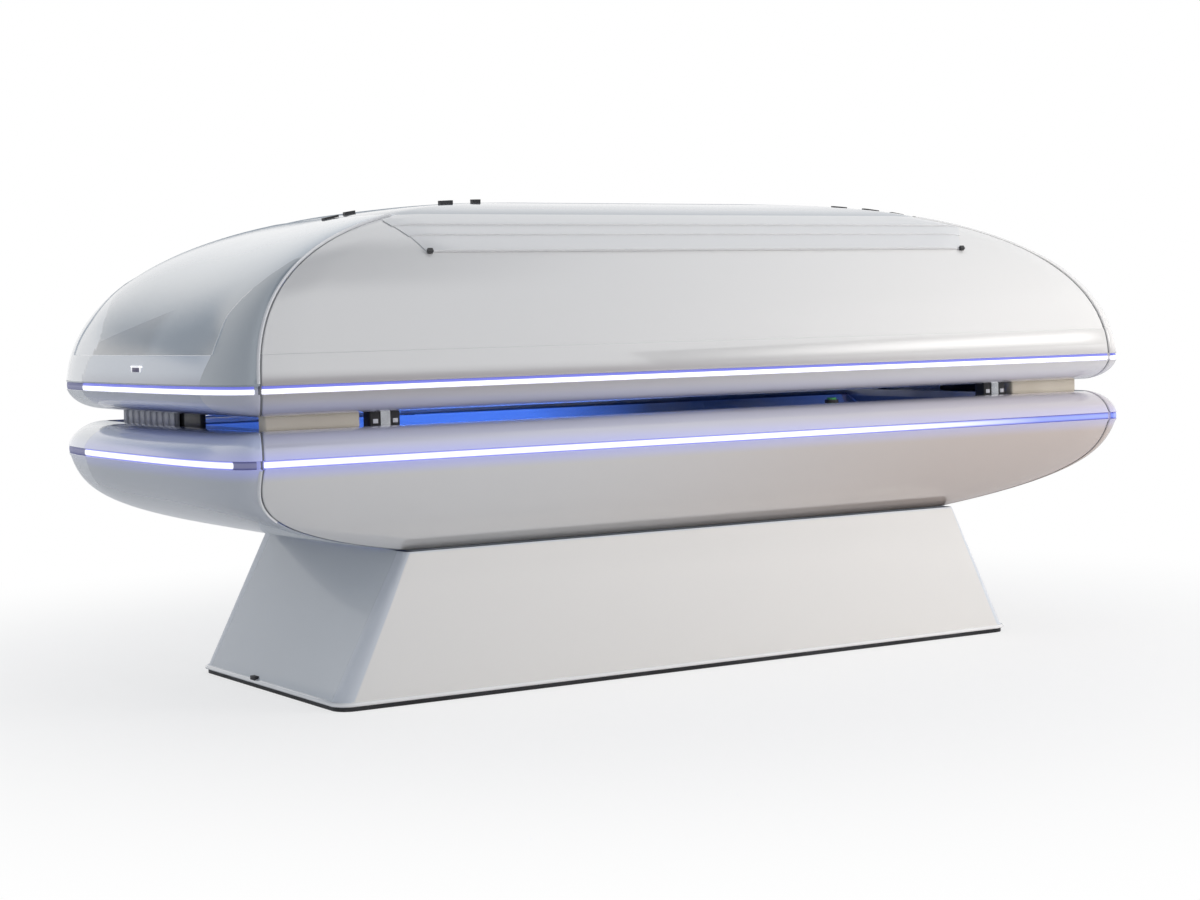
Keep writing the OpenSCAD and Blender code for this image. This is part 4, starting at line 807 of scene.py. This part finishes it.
chip_top = new_node(led_nodes, "ShaderNodeCombineXYZ", {"Z": led_in["Body Height"]})
raised = new_node(led_nodes, "GeometryNodeTransform", {
    "Geometry": dome.outputs["Mesh"], "Translation": chip_top.outputs["Vector"]})
chip_size = new_node(led_nodes, "ShaderNodeCombineXYZ", {
    "X": led_in["Body Side"], "Y": led_in["Body Side"], "Z": led_in["Body Height"]})
chip = new_node(led_nodes, "GeometryNodeMeshCube", {"Size": chip_size.outputs["Vector"]})
led = new_node(led_nodes, "GeometryNodeJoinGeometry", {"Geometry": raised.outputs["Geometry"]})
feed(led, {"Geometry": chip.outputs["Mesh"]})
leds = new_node(led_nodes, "GeometryNodeInstanceOnPoints", {
    "Points": seats.outputs["Points"], "Rotation": facing.outputs["Rotation"],
    "Instance": led.outputs["Geometry"]})
real = new_node(led_nodes, "GeometryNodeRealizeInstances", {"Geometry": leds.outputs["Instances"]})
coated = new_node(led_nodes, "GeometryNodeSetMaterial", {
    "Geometry": real.outputs["Geometry"], "Material": led_in["Finish"]})
new_node(led_nodes, "NodeGroupOutput", {"Geometry": coated.outputs["Geometry"]})


def led_rows(name, centre_z, tray_radius, count, side, body):
    """Sets the LEDs of one shell on its boards, from small square seats that face inwards."""
    board_back = math.sqrt(tray_radius ** 2 - board_half ** 2) - tray_clear
    face = board_back - board_thick
    pitch = 2 * math.asin(board_half / board_back) + 2 * math.asin(half_gap / board_back)
    seat = 0.0005
    points, faces = [], []
    for k in range(count):
        tilt = (k - (count - 1) / 2) * pitch
        out = np.array([0, math.sin(tilt), side * math.cos(tilt)])
        along = np.array([0, math.cos(tilt), -side * math.sin(tilt)])
        for shift in (-0.028, 0.0, 0.028):
            for x in np.linspace(-0.84, 0.84, 60):
                middle = np.array([x, 0, centre_z]) + out * (face - seat) + along * shift
                start = len(points)
                for a, b in ((-1, -1), (1, -1), (1, 1), (-1, 1)):
                    points.append(middle + along * seat * a + np.array([seat * b, 0, 0]))
                loop = (start, start + 1, start + 2, start + 3)
                normal = np.cross(points[start + 1] - points[start], points[start + 3] - points[start])
                faces.append(loop if np.dot(normal, out) < 0 else loop[::-1])
    seeds = bpy.data.meshes.new(name)
    seeds.from_pydata([tuple(map(float, p)) for p in points], [], faces)
    carrier = placed(name, seeds)
    setter = carrier.modifiers.new("leds", "NODES")
    setter.node_group = led_nodes
    finish_socket = next(s.identifier for s in led_nodes.interface.items_tree if s.name == "Finish")
    setter[finish_socket] = led_dome
    settled(carrier)
    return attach(carrier, body)


led_rows("bed_leds", bed_arc_z, bed_tray_radius, 6, -1, "base")

# End walls of both shells: grey laminated board that closes the trough and the tunnel, screwed to the
# frames, with the light of the boards beside it painted on as a faint blue glow.
wall_laminate = lit_finish("wall_laminate", (0.30, 0.31, 0.33), (0.26, 0.27, 0.29), 0.4, 0.6,
                           (0.04, 0.10, 0.5), 0.25)
coat_nodes(wall_laminate, "bed_end_walls", "canopy_end_walls")

# Cooling fans: housings of moulded glass-filled nylon, standing on the bed's floor pan and on the
# canopy's top beam, with a rotor of the same nylon in each.
fan_housing = finish("fan_housing", (0.06, 0.065, 0.07), (0.09, 0.095, 0.10), 0.45, 0.65, 900, 0.5, 10.0)
fan_black = finish("fan_black", (0.02, 0.02, 0.022), (0.045, 0.045, 0.05), 0.3, 0.5, 700, 0.3, 16.0)
coat_nodes(fan_housing, "bed_fan_frames", "canopy_fan_frames")
coat_nodes(fan_black, "bed_fan_rotor_left", "bed_fan_rotor_right")
coat_nodes(fan_black, "canopy_fan_rotor_left", "canopy_fan_rotor_right")

# Rest bars in the front gap: two bars of solid cream polyurethane with worn, rounded edges,
# screwed to the sill.
cream = finish("cream_polyurethane", (0.80, 0.74, 0.63), (0.72, 0.66, 0.55), 0.35, 0.55, 1100, 0.12, 9.0)
bar_low, bar_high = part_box("rest_bars")
bar_length = 0.186
bars = []
for low_x, high_x in ((bar_low.x, bar_low.x + bar_length), (bar_high.x - bar_length, bar_high.x)):
    bars.append(block_mesh((low_x, bar_low.y, bar_low.z), (high_x, bar_high.y, bar_high.z), 0.005, 5))
rest = piece("rest_bars_moulded", *joined(*bars), cream, "cream_bar", 60)
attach(rest, "base")
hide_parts("rest_bars")

# Stop blocks: black rubber, in pairs either side of a bright steel plate, with small white nylon
# pads set in their front faces. One more block stands in each end gap.
stop_rubber = finish("stop_rubber", (0.022, 0.022, 0.025), (0.045, 0.045, 0.05), 0.4, 0.65, 900, 0.35, 12.0)
nylon = finish("white_nylon", (0.82, 0.83, 0.86), (0.74, 0.75, 0.80), 0.3, 0.45, 900, 0.1, 9.0)
plate_steel = finish("plate_steel", (0.66, 0.67, 0.69), (0.50, 0.51, 0.54), 0.18, 0.34, 1500, 0.15, 22.0,
                     metal=1.0)
coat_nodes(plate_steel, "stop_plates")
coat_nodes(stop_rubber, "button_bezel")


def side_block(way, near, far, low, high, round_by, steps=2):
    """A block at the left (way -1) or the right (way 1), between two distances from the middle."""
    left, right = sorted((way * near, way * far))
    return block_mesh((left, *low), (right, *high), round_by, steps)


stop_low, stop_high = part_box("stop_blocks")
end_gap_in, end_gap_out = 0.955, 0.967
block_long, pad_in, block_round = 0.020, 0.005, 0.0025
block_front, block_back = -0.382, -0.352
pad_low, pad_high = (-0.3832, 0.5290), (-0.3818, 0.5370)
blocks, pads = [], []
for way in (-1, 1):
    for near in (0.700, 0.740):
        far = near + block_long
        low, high = (block_front, stop_low.z), (block_back, stop_high.z)
        blocks.append(side_block(way, near, far, low, high, block_round, 3))
        pads.append(side_block(way, near + pad_in, far - pad_in, pad_low, pad_high, 0.0005))
    low, high = (-0.090, stop_low.z), (-0.010, stop_high.z)
    blocks.append(side_block(way, end_gap_in, end_gap_out, low, high, block_round, 3))
rubber = piece("stop_blocks_moulded", *joined(*blocks), stop_rubber, "black_rubber", 60)
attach(rubber, "base")
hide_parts("stop_blocks")
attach(piece("stop_pads", *joined(*pads), nylon, "inner_white", 60), "base")

# Black foam curtains are glued behind the end gaps, so that no light leaks out: a long one at the
# right and a short one at the left.
foam_black = finish("foam_black", (0.02, 0.02, 0.022), (0.035, 0.035, 0.04), 0.7, 0.9, 300, 0.6, 8.0)
curtains = [block_mesh((x, first, stop_low.z), (x + 0.006, last, stop_high.z), 0.001, 2)
            for x, first, last in ((0.944, -0.335, 0.046), (-0.950, -0.014, 0.092))]
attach(piece("gap_curtains", *joined(*curtains), foam_black, "black_rubber", 60), "base")

# Ribbed covers of the strut slots in the end gaps: pale grey moulded nylon with nine upright ribs,
# clipped into the sill.
cover_nylon = finish("cover_nylon", (0.86, 0.87, 0.89), (0.78, 0.79, 0.82), 0.35, 0.5, 900, 0.2, 9.0)
cover_low, cover_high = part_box("gap_covers")
rib_count, rib_first, ribs_long = 9, 0.040, 0.270
rib_width = ribs_long / (2 * rib_count - 1)
ribs = []
for way in (-1, 1):
    ribs.append(side_block(way, end_gap_in, 0.963, cover_low.yz, cover_high.yz, 0.001))
    for k in range(rib_count):
        start = rib_first + 2 * k * rib_width
        low, high = (start, cover_low.z), (start + rib_width, cover_high.z)
        ribs.append(side_block(way, 0.9625, end_gap_out, low, high, 0.0012))
covers = piece("gap_covers_ribbed", *joined(*ribs), cover_nylon, "cover_grey", 60)
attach(covers, "base")
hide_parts("gap_covers")

# Start button: a green moulded polycarbonate cap that slides in a black rubber bezel, screwed to
# the front sill.
button_green = finish("button_green", (0.04, 0.42, 0.10), (0.03, 0.33, 0.08), 0.15, 0.28, 900, 0.05, 30.0,
                      coat=0.4)
coat_nodes(button_green, "start_button")

# Rear hinges: pressed steel leaves, zinc plated, that turn on a ground pin and are screwed to both
# sills.
hinge_zinc = finish("hinge_zinc", (0.58, 0.59, 0.60), (0.44, 0.45, 0.47), 0.28, 0.45, 1300, 0.25, 16.0,
                    metal=1.0)
coat_nodes(hinge_zinc, "hinge_lower_leaves", "hinge_upper_leaves")

# Gas struts: black painted cylinders with a welded eye, and chromed piston rods that hold the
# canopy open.
strut_paint = finish("strut_paint", (0.014, 0.014, 0.016), (0.03, 0.03, 0.033), 0.22, 0.4, 900, 0.12, 10.0,
                     coat=0.3)
rod_chrome = finish("rod_chrome", (0.75, 0.76, 0.78), (0.66, 0.67, 0.70), 0.05, 0.12, 1800, 0.03, 20.0,
                    metal=1.0)
coat_nodes(strut_paint, "strut_cylinder_left", "strut_cylinder_right")
coat_nodes(rod_chrome, "strut_rod_left", "strut_rod_right")

# Shells of the canopy: front and rear mouldings, two swept end caps and a spine cover, in the
# same gloss acrylic. A rim band runs over the strip and ends in a small step, which the swept
# corners of the caps run over without a break.
canopy_rim, canopy_rise, rim_step = -0.0485, 0.3495, 0.0015
band_level, band_soft, swept_z, swept_soft = 0.1735, 0.005, 0.795, 0.05
crown_nips = {0.8985: 0.0, 0.9005: 0.0002, 0.9018: 0.0006, 0.9026: 0.0012, 0.903: 0.0020}
shell_levels = [0.034, 0.05, 0.075, 0.10, 0.13, 0.155, 0.168, *np.linspace(0.1725, 0.1795, 8), 0.186,
                *np.linspace(0.198, 0.898, 41)[:-1], *crown_nips]


def canopy_row(level, inset):
    """Height, seam half length, overall half length and half width at a level from 0 to 1."""
    return (canopy_strip_z + (canopy_rise - inset) * level, half_length * fall(level, 2.4, 3.2),
            (half_length + end_bulge - inset) * fall(level, 1.8, 4),
            (half_width - inset) * fall(level, 1.8, 2.8))


def step_at(value, first, over):
    """The rim band's step, which rises softly over a short way."""
    share = min(max((value - first) / over, 0), 1)
    return rim_step * share * share * (3 - 2 * share)


def canopy_levels(inset, swept=False):
    """The same rows as the bed's, from the canopy's rim up to its spine."""
    rows = belt_levels(canopy_strip_z, canopy_rim, inset)
    for level in shell_levels:
        nip = crown_nips.get(level, 0.0) if inset < 0.0039 else 0.0
        height = canopy_strip_z + canopy_rise * level
        step = step_at(height, swept_z, swept_soft) if swept else step_at(level, band_level, band_soft)
        rows.append(canopy_row(level, inset + step + nip))
    return np.array(rows)


def canopy_cap(base):
    """Points of the right canopy cap, with the swept corners proud of the step."""
    plain = canopy_levels(base)
    share = np.clip(np.interp(plain[:, 0], corner_z, corner_y) / plain[:, 3], 0, 0.9965)
    bend = np.arcsin(share ** 1.5)
    last = np.argmin(np.abs(plain[:, 0] - corner_z[-1]))
    bend[last:] = bend[last]
    points = cap_points(canopy_levels, base, bend)
    swept = cap_points(lambda inset: canopy_levels(inset, True), base, bend)
    corner = len(roll_turns) + corner_turns
    points[:, :corner] = swept[:, :corner]
    points[:, -corner:] = swept[:, -corner:]
    return points


# Painted light on the canopy: a lighter warm tone towards the right for the key light, a taupe painted
# reflection above the strip and a lilac glow beside the gap. The left caps take a darker blue-grey copy of
# the gloss as painted shade, lighter towards the top, with a painted highlight at the top, a darker painted
# reflection in a wedge and a lighter painted reflection along the rim band.
canopy_heights = (canopy_strip_z, 0.552)
canopy_white = shell_gloss("canopy_shell_gloss", (0.74, 0.74, 0.74), (0.725, 0.725, 0.725), canopy_heights,
                           (0.42, 0.395, 0.41), (0.47, 0.475, 0.61), tones=[("Warm", (0.86, 0.85, 0.835))])
canopy_cap_painted_light = [("Rise", (0.66, 0.75, 0.83)), ("Crown", (0.90, 0.93, 0.96)),
                    ("Wedge", (0.27, 0.29, 0.31)), ("Rim Band", (0.58, 0.64, 0.73))]
canopy_cap_painted_shade = shell_gloss("canopy_cap_painted_shade", (0.40, 0.43, 0.46), (0.38, 0.41, 0.44), canopy_heights,
                               (0.36, 0.39, 0.48), (0.30, 0.34, 0.60), tones=canopy_cap_painted_light)
canopy_front = (long_points(canopy_levels), long_points(canopy_levels, wall))
canopy_end = (canopy_cap(0.0), canopy_cap(wall))
fit_shells("canopy", "canopy", canopy_front, canopy_end, canopy_white, canopy_cap_painted_shade)

# Seam beads: the same pale extruded bead is pressed along both seams of the left canopy cap, at
# the front and at the rear.


def canopy_seam(level):
    """Half length of the canopy to its seam, at a level."""
    return canopy_row(level, 0)[1]


def front_point(level, lift):
    """A point [y, z] off the canopy's front moulding, at a level."""
    rows = [canopy_row(at, rim_step) for at in (level, level + 0.001)]
    return lifted(*((row[3], row[0]) for row in rows), lift)


front_bead = seam_bead(np.linspace(0.032, 0.895, 90), canopy_seam, front_point, 0.0048, 0.0042, 0.0006)
beads = joined(front_bead, mirrored(front_bead, flip_y))
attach(piece("seam_beads", *beads, bead_white, "shell_white", 50), "canopy")

# Spine cover: one long shallow moulding in the same acrylic, which closes the top of the canopy
# and nips down on the shells' upper edges.
# Its darker blue-grey is painted shade over the same white gloss.
spine_painted_shade = shell_gloss("spine_painted_shade", (0.46, 0.50, 0.55), (0.43, 0.47, 0.52), canopy_heights,
                          (0.6, 0.6, 0.9), (0.6, 0.6, 0.7))
spine_level, spine_nips = 0.9036, (0.0020, 0.0008, 0.0002)


def spine_points(base):
    """Rings of the spine cover, from its edge up to the middle line."""
    out, wide = bowed(np.radians(np.linspace(-90, 90, 97)))
    rows = []
    for k, share in enumerate(np.linspace(1, 0, 30) ** 1.15 * fall(spine_level, 1.8, 2.8)):
        nip = spine_nips[k] if k < 3 and base == 0 else 0.0
        inset = rim_step + base + nip
        z, seam, end, _ = canopy_row(fall(share, 2.8, 1.8), inset)
        right = np.stack([seam + (end - seam) * out, (half_width - inset) * share * wide, z + 0 * out], 1)
        rows.append(np.concatenate([right, right[::-1] * flip_x]))
    return np.array(rows)


spine_wall = skin_and_back(spine_points(0.0), spine_points(wall), ring=True, crown=True)
spine = piece("canopy_spine_shell", *spine_wall, spine_painted_shade, "shell_cap")
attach(spine, "canopy")
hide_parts("canopy_spine")

# Air louvre on the upper front: three shingled slats in grey moulded plastic, each a little longer
# than the one below it, with tapered ends that stay short of the seams and reach further right.
louvre_grey = finish("louvre_grey", (0.80, 0.805, 0.81), (0.785, 0.79, 0.80), 0.20, 0.22, 900, 0.02, 0.8,
                     coat=0.6)
slat_levels, slat_lap, slat_sit, slat_taper = (0.691, 0.777, 0.834, 0.895), 0.006, 0.0006, 0.05
slat_ends, slat_clear = ((0.618, 0.020), (0.668, 0.026)), 0.014
slat_lifts = [(0.0, 0.0048), (0.0, 0.0060), (0.008, 0.0067), (0.02, 0.0070)]
slat_lifts += [(share, 0.0070 - 0.0040 * share) for share in np.linspace(0.1, 1, 10)]
slats = []
for k in range(3):
    low, high = slat_levels[k] - slat_lap, slat_levels[k + 1]
    skins = []
    for way in (1, 0):
        rows = []
        for share, lift in slat_lifts:
            level = low + (high - low) * share
            furthest = canopy_seam(level) - slat_clear
            left, right = (min(start + step * (k + 0.9 * share), furthest) for start, step in slat_ends)
            row = []
            for x in (right - left) / 2 + (right + left) / 2 * np.sin(np.radians(np.linspace(-90, 90, 41))):
                thin = min(1, 0.2 + min(right - x, left + x) / slat_taper)
                row.append((x, *front_point(level, slat_sit + way * (lift - slat_sit) * thin)))
            rows.append(row)
        skins.append(np.array(rows))
    slats.append(skin_and_back(*skins))
louvre = piece("canopy_louvre_slats", *joined(*slats), louvre_grey, "shell_cap", 40)
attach(louvre, "canopy")
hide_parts("canopy_louvre")

# The slats end in small black blocks that are painted shade, standing in for the shadow at their
# ends, and low black vent plugs are pressed in along the top of the canopy.
shade_clips_and_plug_black = finish("shade_clips_and_plug_black", (0.02, 0.02, 0.022), (0.04, 0.04, 0.043), 0.35, 0.5, 900, 0.1, 12.0)
clip_half, plug_half = 0.005, 0.005
clips = []
for middle in (-0.6135, 0.6685):
    skins = []
    for lift in (0.0082, 0.0010):
        skins.append(np.array([[(middle + out, *front_point(level, lift)) for out in (-clip_half, clip_half)]
                               for level in (0.676, 0.684, 0.692)]))
    clips.append(skin_and_back(*skins))


def top_height(x, y):
    """Height of the canopy's surface above a point of its plan."""
    low, high = 0.2, 0.999999
    for _ in range(40):
        level = (low + high) / 2
        z, seam, end, half = canopy_row(level, rim_step)
        beyond = (max(abs(x) - seam, 0) / (end - seam)) ** 3 + (abs(y) / half) ** 3 > 1
        low, high = (low, level) if beyond else (level, high)
    return z


vent_plugs = (
    (-0.692, -0.098, 0.016, 0.0034), (-0.642, -0.078, 0.011, 0.0050), (-0.460, -0.133, 0.014, 0.0070),
    (-0.382, -0.113, 0.009, 0.0070), (0.505, -0.142, 0.018, 0.0030), (0.575, -0.163, 0.020, 0.0034),
    (0.636, -0.178, 0.016, 0.0030), (0.685, -0.189, 0.012, 0.0026),
)
for x, y, half, tall in vent_plugs:
    plan = [[(x + half * a, y + plug_half * b) for a in np.linspace(-1, 1, 7)] for b in (-1, 0, 1)]
    base = np.array([[(u, v, top_height(u, v)) for u, v in row] for row in plan])
    clips.append(skin_and_back(base + (0, 0, tall), base - (0, 0, 0.0005)))
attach(piece("shade_clips_and_plugs", *joined(*clips), shade_clips_and_plug_black, "black_plastic", 50), "canopy")

# Finger pull on the left end: a white moulded frame round a recess, clipped into the rim band. The
# recess's dark violet is painted shade, and the frame carries a faint painted glow so that it reads white.
pull_frame_painted_glow = finish("pull_frame_painted_glow", (0.90, 0.90, 0.93), (0.85, 0.85, 0.89), 0.2, 0.3, 900, 0.05, 20.0)
# Painted glow: the frame emits a little white light.
feed(surface(pull_frame_painted_glow), {"Emission Color": (1, 1, 1, 1), "Emission Strength": 0.45})
pull_recess_painted_shade = finish("pull_recess_painted_shade", (0.16, 0.14, 0.24), (0.12, 0.11, 0.19), 0.35, 0.5, 900, 0.1, 20.0)
pull_back, pull_top = -1.0670, 0.6412
pull_sides = ((-0.071, -0.024, 0.6372), (-0.071, -0.066, 0.6290), (-0.029, -0.024, 0.6290))
frame_bars = [block_mesh((-1.0738, low_y, low_z), (pull_back, high_y, pull_top), 0.0010)
              for low_y, high_y, low_z in pull_sides]
recess = block_mesh((-1.0731, -0.067, 0.6294), (pull_back, -0.028, 0.6380), 0.0006, 2)
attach(piece("finger_pull_frame", *joined(*frame_bars), pull_frame_painted_glow, "shell_white", 60), "canopy")
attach(piece("finger_pull_recess", *recess, pull_recess_painted_shade, "black_plastic", 60), "canopy")

# Canopy sheet, tray, boards and LEDs: of the same acrylic and enamelled sheet as in the bed, bent
# the other way over ribs and hoops.
canopy_arc_z, vault_radius, canopy_tray_radius = 0.4273, 0.373, 0.417
vault_arc = arc_sheet(canopy_arc_z, vault_radius, acrylic_thick, sheet_edge_y, sheet_half, 1, sheet_round)
vault = piece("canopy_sheet", *vault_arc, clear_sheet, "clear_acrylic", 50)
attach(vault, "canopy")
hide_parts("canopy_acrylic")
tray_arc = arc_sheet(canopy_arc_z, canopy_tray_radius, tray_thick, 0.3862, 0.8637, 1)
tray = piece("canopy_tray_sheet", *tray_arc, tray_enamel, "lamp_tray", 50)
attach(tray, "canopy")
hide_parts("canopy_lamp_tray")
led_rows("canopy_leds", canopy_arc_z, canopy_tray_radius, 8, 1, "canopy")

# The studio: a white floor that fades into the white background, a large lamp at the right front,
# a weak one above and a warm low one, a soft box that the gloss shows along the canopy's foot, and
# grey flags that give the gloss its darker bands.
floor_mesh = bpy.data.meshes.new("studio_floor")
floor_mesh.from_pydata([(-40, -40, 0), (40, -40, 0), (40, 40, 0), (-40, 40, 0)], [], [(0, 1, 2, 3)])
floor = placed("studio_floor", floor_mesh)
floor_white = finish("floor_white", (0.93, 0.93, 0.93), (0.91, 0.91, 0.915), 0.6, 0.8, 40, 0.0, 0.4)
tree = floor_white.node_tree
floor_place = new_node(tree, "ShaderNodeTexCoord").outputs["Object"]
from_middle = new_node(tree, "ShaderNodeVectorMath", {0: floor_place}, operation="LENGTH").outputs["Value"]
camera_ray = new_node(tree, "ShaderNodeLightPath").outputs["Is Camera Ray"]
white_share = reckoned(tree, "MULTIPLY", eased(tree, from_middle, 0.8, 2.3, 0.68, 1.0), camera_ray)
white_glow = new_node(tree, "ShaderNodeEmission").outputs[0]
floor_look = new_node(tree, "ShaderNodeMixShader", {
    0: white_share, 1: surface(floor_white).outputs[0], 2: white_glow})
feed(tree.nodes["Material Output"], {"Surface": floor_look.outputs[0]})
floor_mesh.materials.append(floor_white)

world = bpy.data.worlds.new("studio")
bpy.context.scene.world = world
world.use_nodes = True
tree = world.node_tree
path = new_node(tree, "ShaderNodeLightPath").outputs
seen = reckoned(tree, "MAXIMUM", path["Is Camera Ray"], path["Is Glossy Ray"])
seen = reckoned(tree, "MAXIMUM", seen, path["Is Transmission Ray"])
feed(tree.nodes["Background"], {"Color": blended(tree, seen, (0.455, 0.475, 0.51), (1, 1, 1))})


def card(name, corners, material):
    """A flat studio card that the camera itself doesn't see."""
    mesh = bpy.data.meshes.new(name)
    mesh.from_pydata(corners, [], [(0, 1, 2, 3)])
    layer = mesh.uv_layers.new(name="card")
    for loop, at in zip(layer.data, ((0, 0), (1, 0), (1, 1), (0, 1))):
        loop.uv = at
    mesh.materials.append(material)
    thing = placed(name, mesh)
    thing.visible_camera = False


def soft_edges(tree, fade):
    """A mask that fades from a card's middle into its edges."""
    axes = axes_of(tree, new_node(tree, "ShaderNodeUVMap").outputs["UV"])
    edges = [eased(tree, reckoned(tree, "PINGPONG", axes[axis], 0.5), 0.0, width)
             for axis, width in zip("XY", fade)]
    return reckoned(tree, "MULTIPLY", *edges)


def soft_light(name, middle, aim, size, tint, strength, fade):
    """A soft box whose light fades towards its edges."""
    material = bpy.data.materials.new(name)
    material.use_nodes = True
    tree = material.node_tree
    tree.nodes.remove(tree.nodes["Principled BSDF"])
    power = reckoned(tree, "MULTIPLY", soft_edges(tree, fade), strength)
    glow = new_node(tree, "ShaderNodeEmission", {"Color": (*tint, 1), "Strength": power})
    feed(tree.nodes["Material Output"], {"Surface": glow.outputs[0]})
    middle = Vector(middle)
    towards = (Vector(aim) - middle).normalized()
    across = towards.cross(Vector((0, 0, 1))).normalized()
    right, top = across * size[0] / 2, across.cross(towards) * size[1] / 2
    card(name, [middle + right * a + top * b for a, b in ((-1, -1), (1, -1), (1, 1), (-1, 1))], material)


soft_light("strip_box", (3.7, -3.6, 1.55), (0.6, 0, 0.64), (3.0, 0.7), (1.0, 0.985, 0.965), 3.2, (0.45, 0.5))

for name, middle, aim, size, tint, power in (
    ("key_lamp", (3.4, -2.6, 2.2), (0.5, 0, 0.55), (2.2, 1.6), (1.0, 0.99, 0.975), 66.0),
    ("top_lamp", (0.4, -0.6, 3.9), (0, 0, 0.6), (2.6, 1.6), (0.97, 0.98, 1.0), 10.0),
    ("low_lamp", (1.9, -3.2, 0.45), (0.4, 0, 0.2), (2.6, 0.7), (1.0, 0.88, 0.77), 16.0),
):
    bulb = bpy.data.lights.new(name, "AREA")
    bulb.shape = "RECTANGLE"
    bulb.size, bulb.size_y = size
    bulb.energy, bulb.color = power, tint
    lamp = placed(name, bulb)
    lamp.location = middle
    lamp.rotation_euler = (Vector(aim) - Vector(middle)).to_track_quat("-Z", "Y").to_euler()
    lamp.visible_camera = lamp.visible_glossy = False


def flag(name, shade, fade, corners):
    """A dark cloth with soft edges, which only the gloss of the shells shows."""
    light, dark = (shade, shade * 1.1, shade * 1.2), (shade * 0.9, shade, shade * 1.1)
    material = finish(name + "_cloth", light, dark, 0.8, 0.9, 60, 0.0, 1.0)
    tree = material.node_tree
    clear = new_node(tree, "ShaderNodeBsdfTransparent").outputs[0]
    cloth = surface(material).outputs[0]
    look = new_node(tree, "ShaderNodeMixShader", {0: soft_edges(tree, fade), 1: clear, 2: cloth})
    feed(tree.nodes["Material Output"], {"Surface": look.outputs[0]})
    card(name, corners, material)


for name, shade, fade, low, high in (
    ("rear_flag", 0.80, (0.45, 0.30), (-4.6, 4.0, 1.45), (-0.5, 4.0, 3.3)),
    ("top_flag", 0.08, (0.45, 0.35), (-1.4, -2.8, 4.4), (2.2, 0.9, 4.4)),
    ("skyline_flag", 0.50, (0.15, 0.30), (0.0, 5.0, 0.4), (9.0, 5.0, 2.0)),
    ("front_flag", 0.10, (0.15, 0.5), (-1.5, -5.6, 0.80), (9.5, -5.6, 1.50)),
):
    flag(name, shade, fade, [low, (high[0], low[1], low[2]), high, (low[0], high[1], high[2])])

bpy.context.scene.view_settings.view_transform = "Standard"
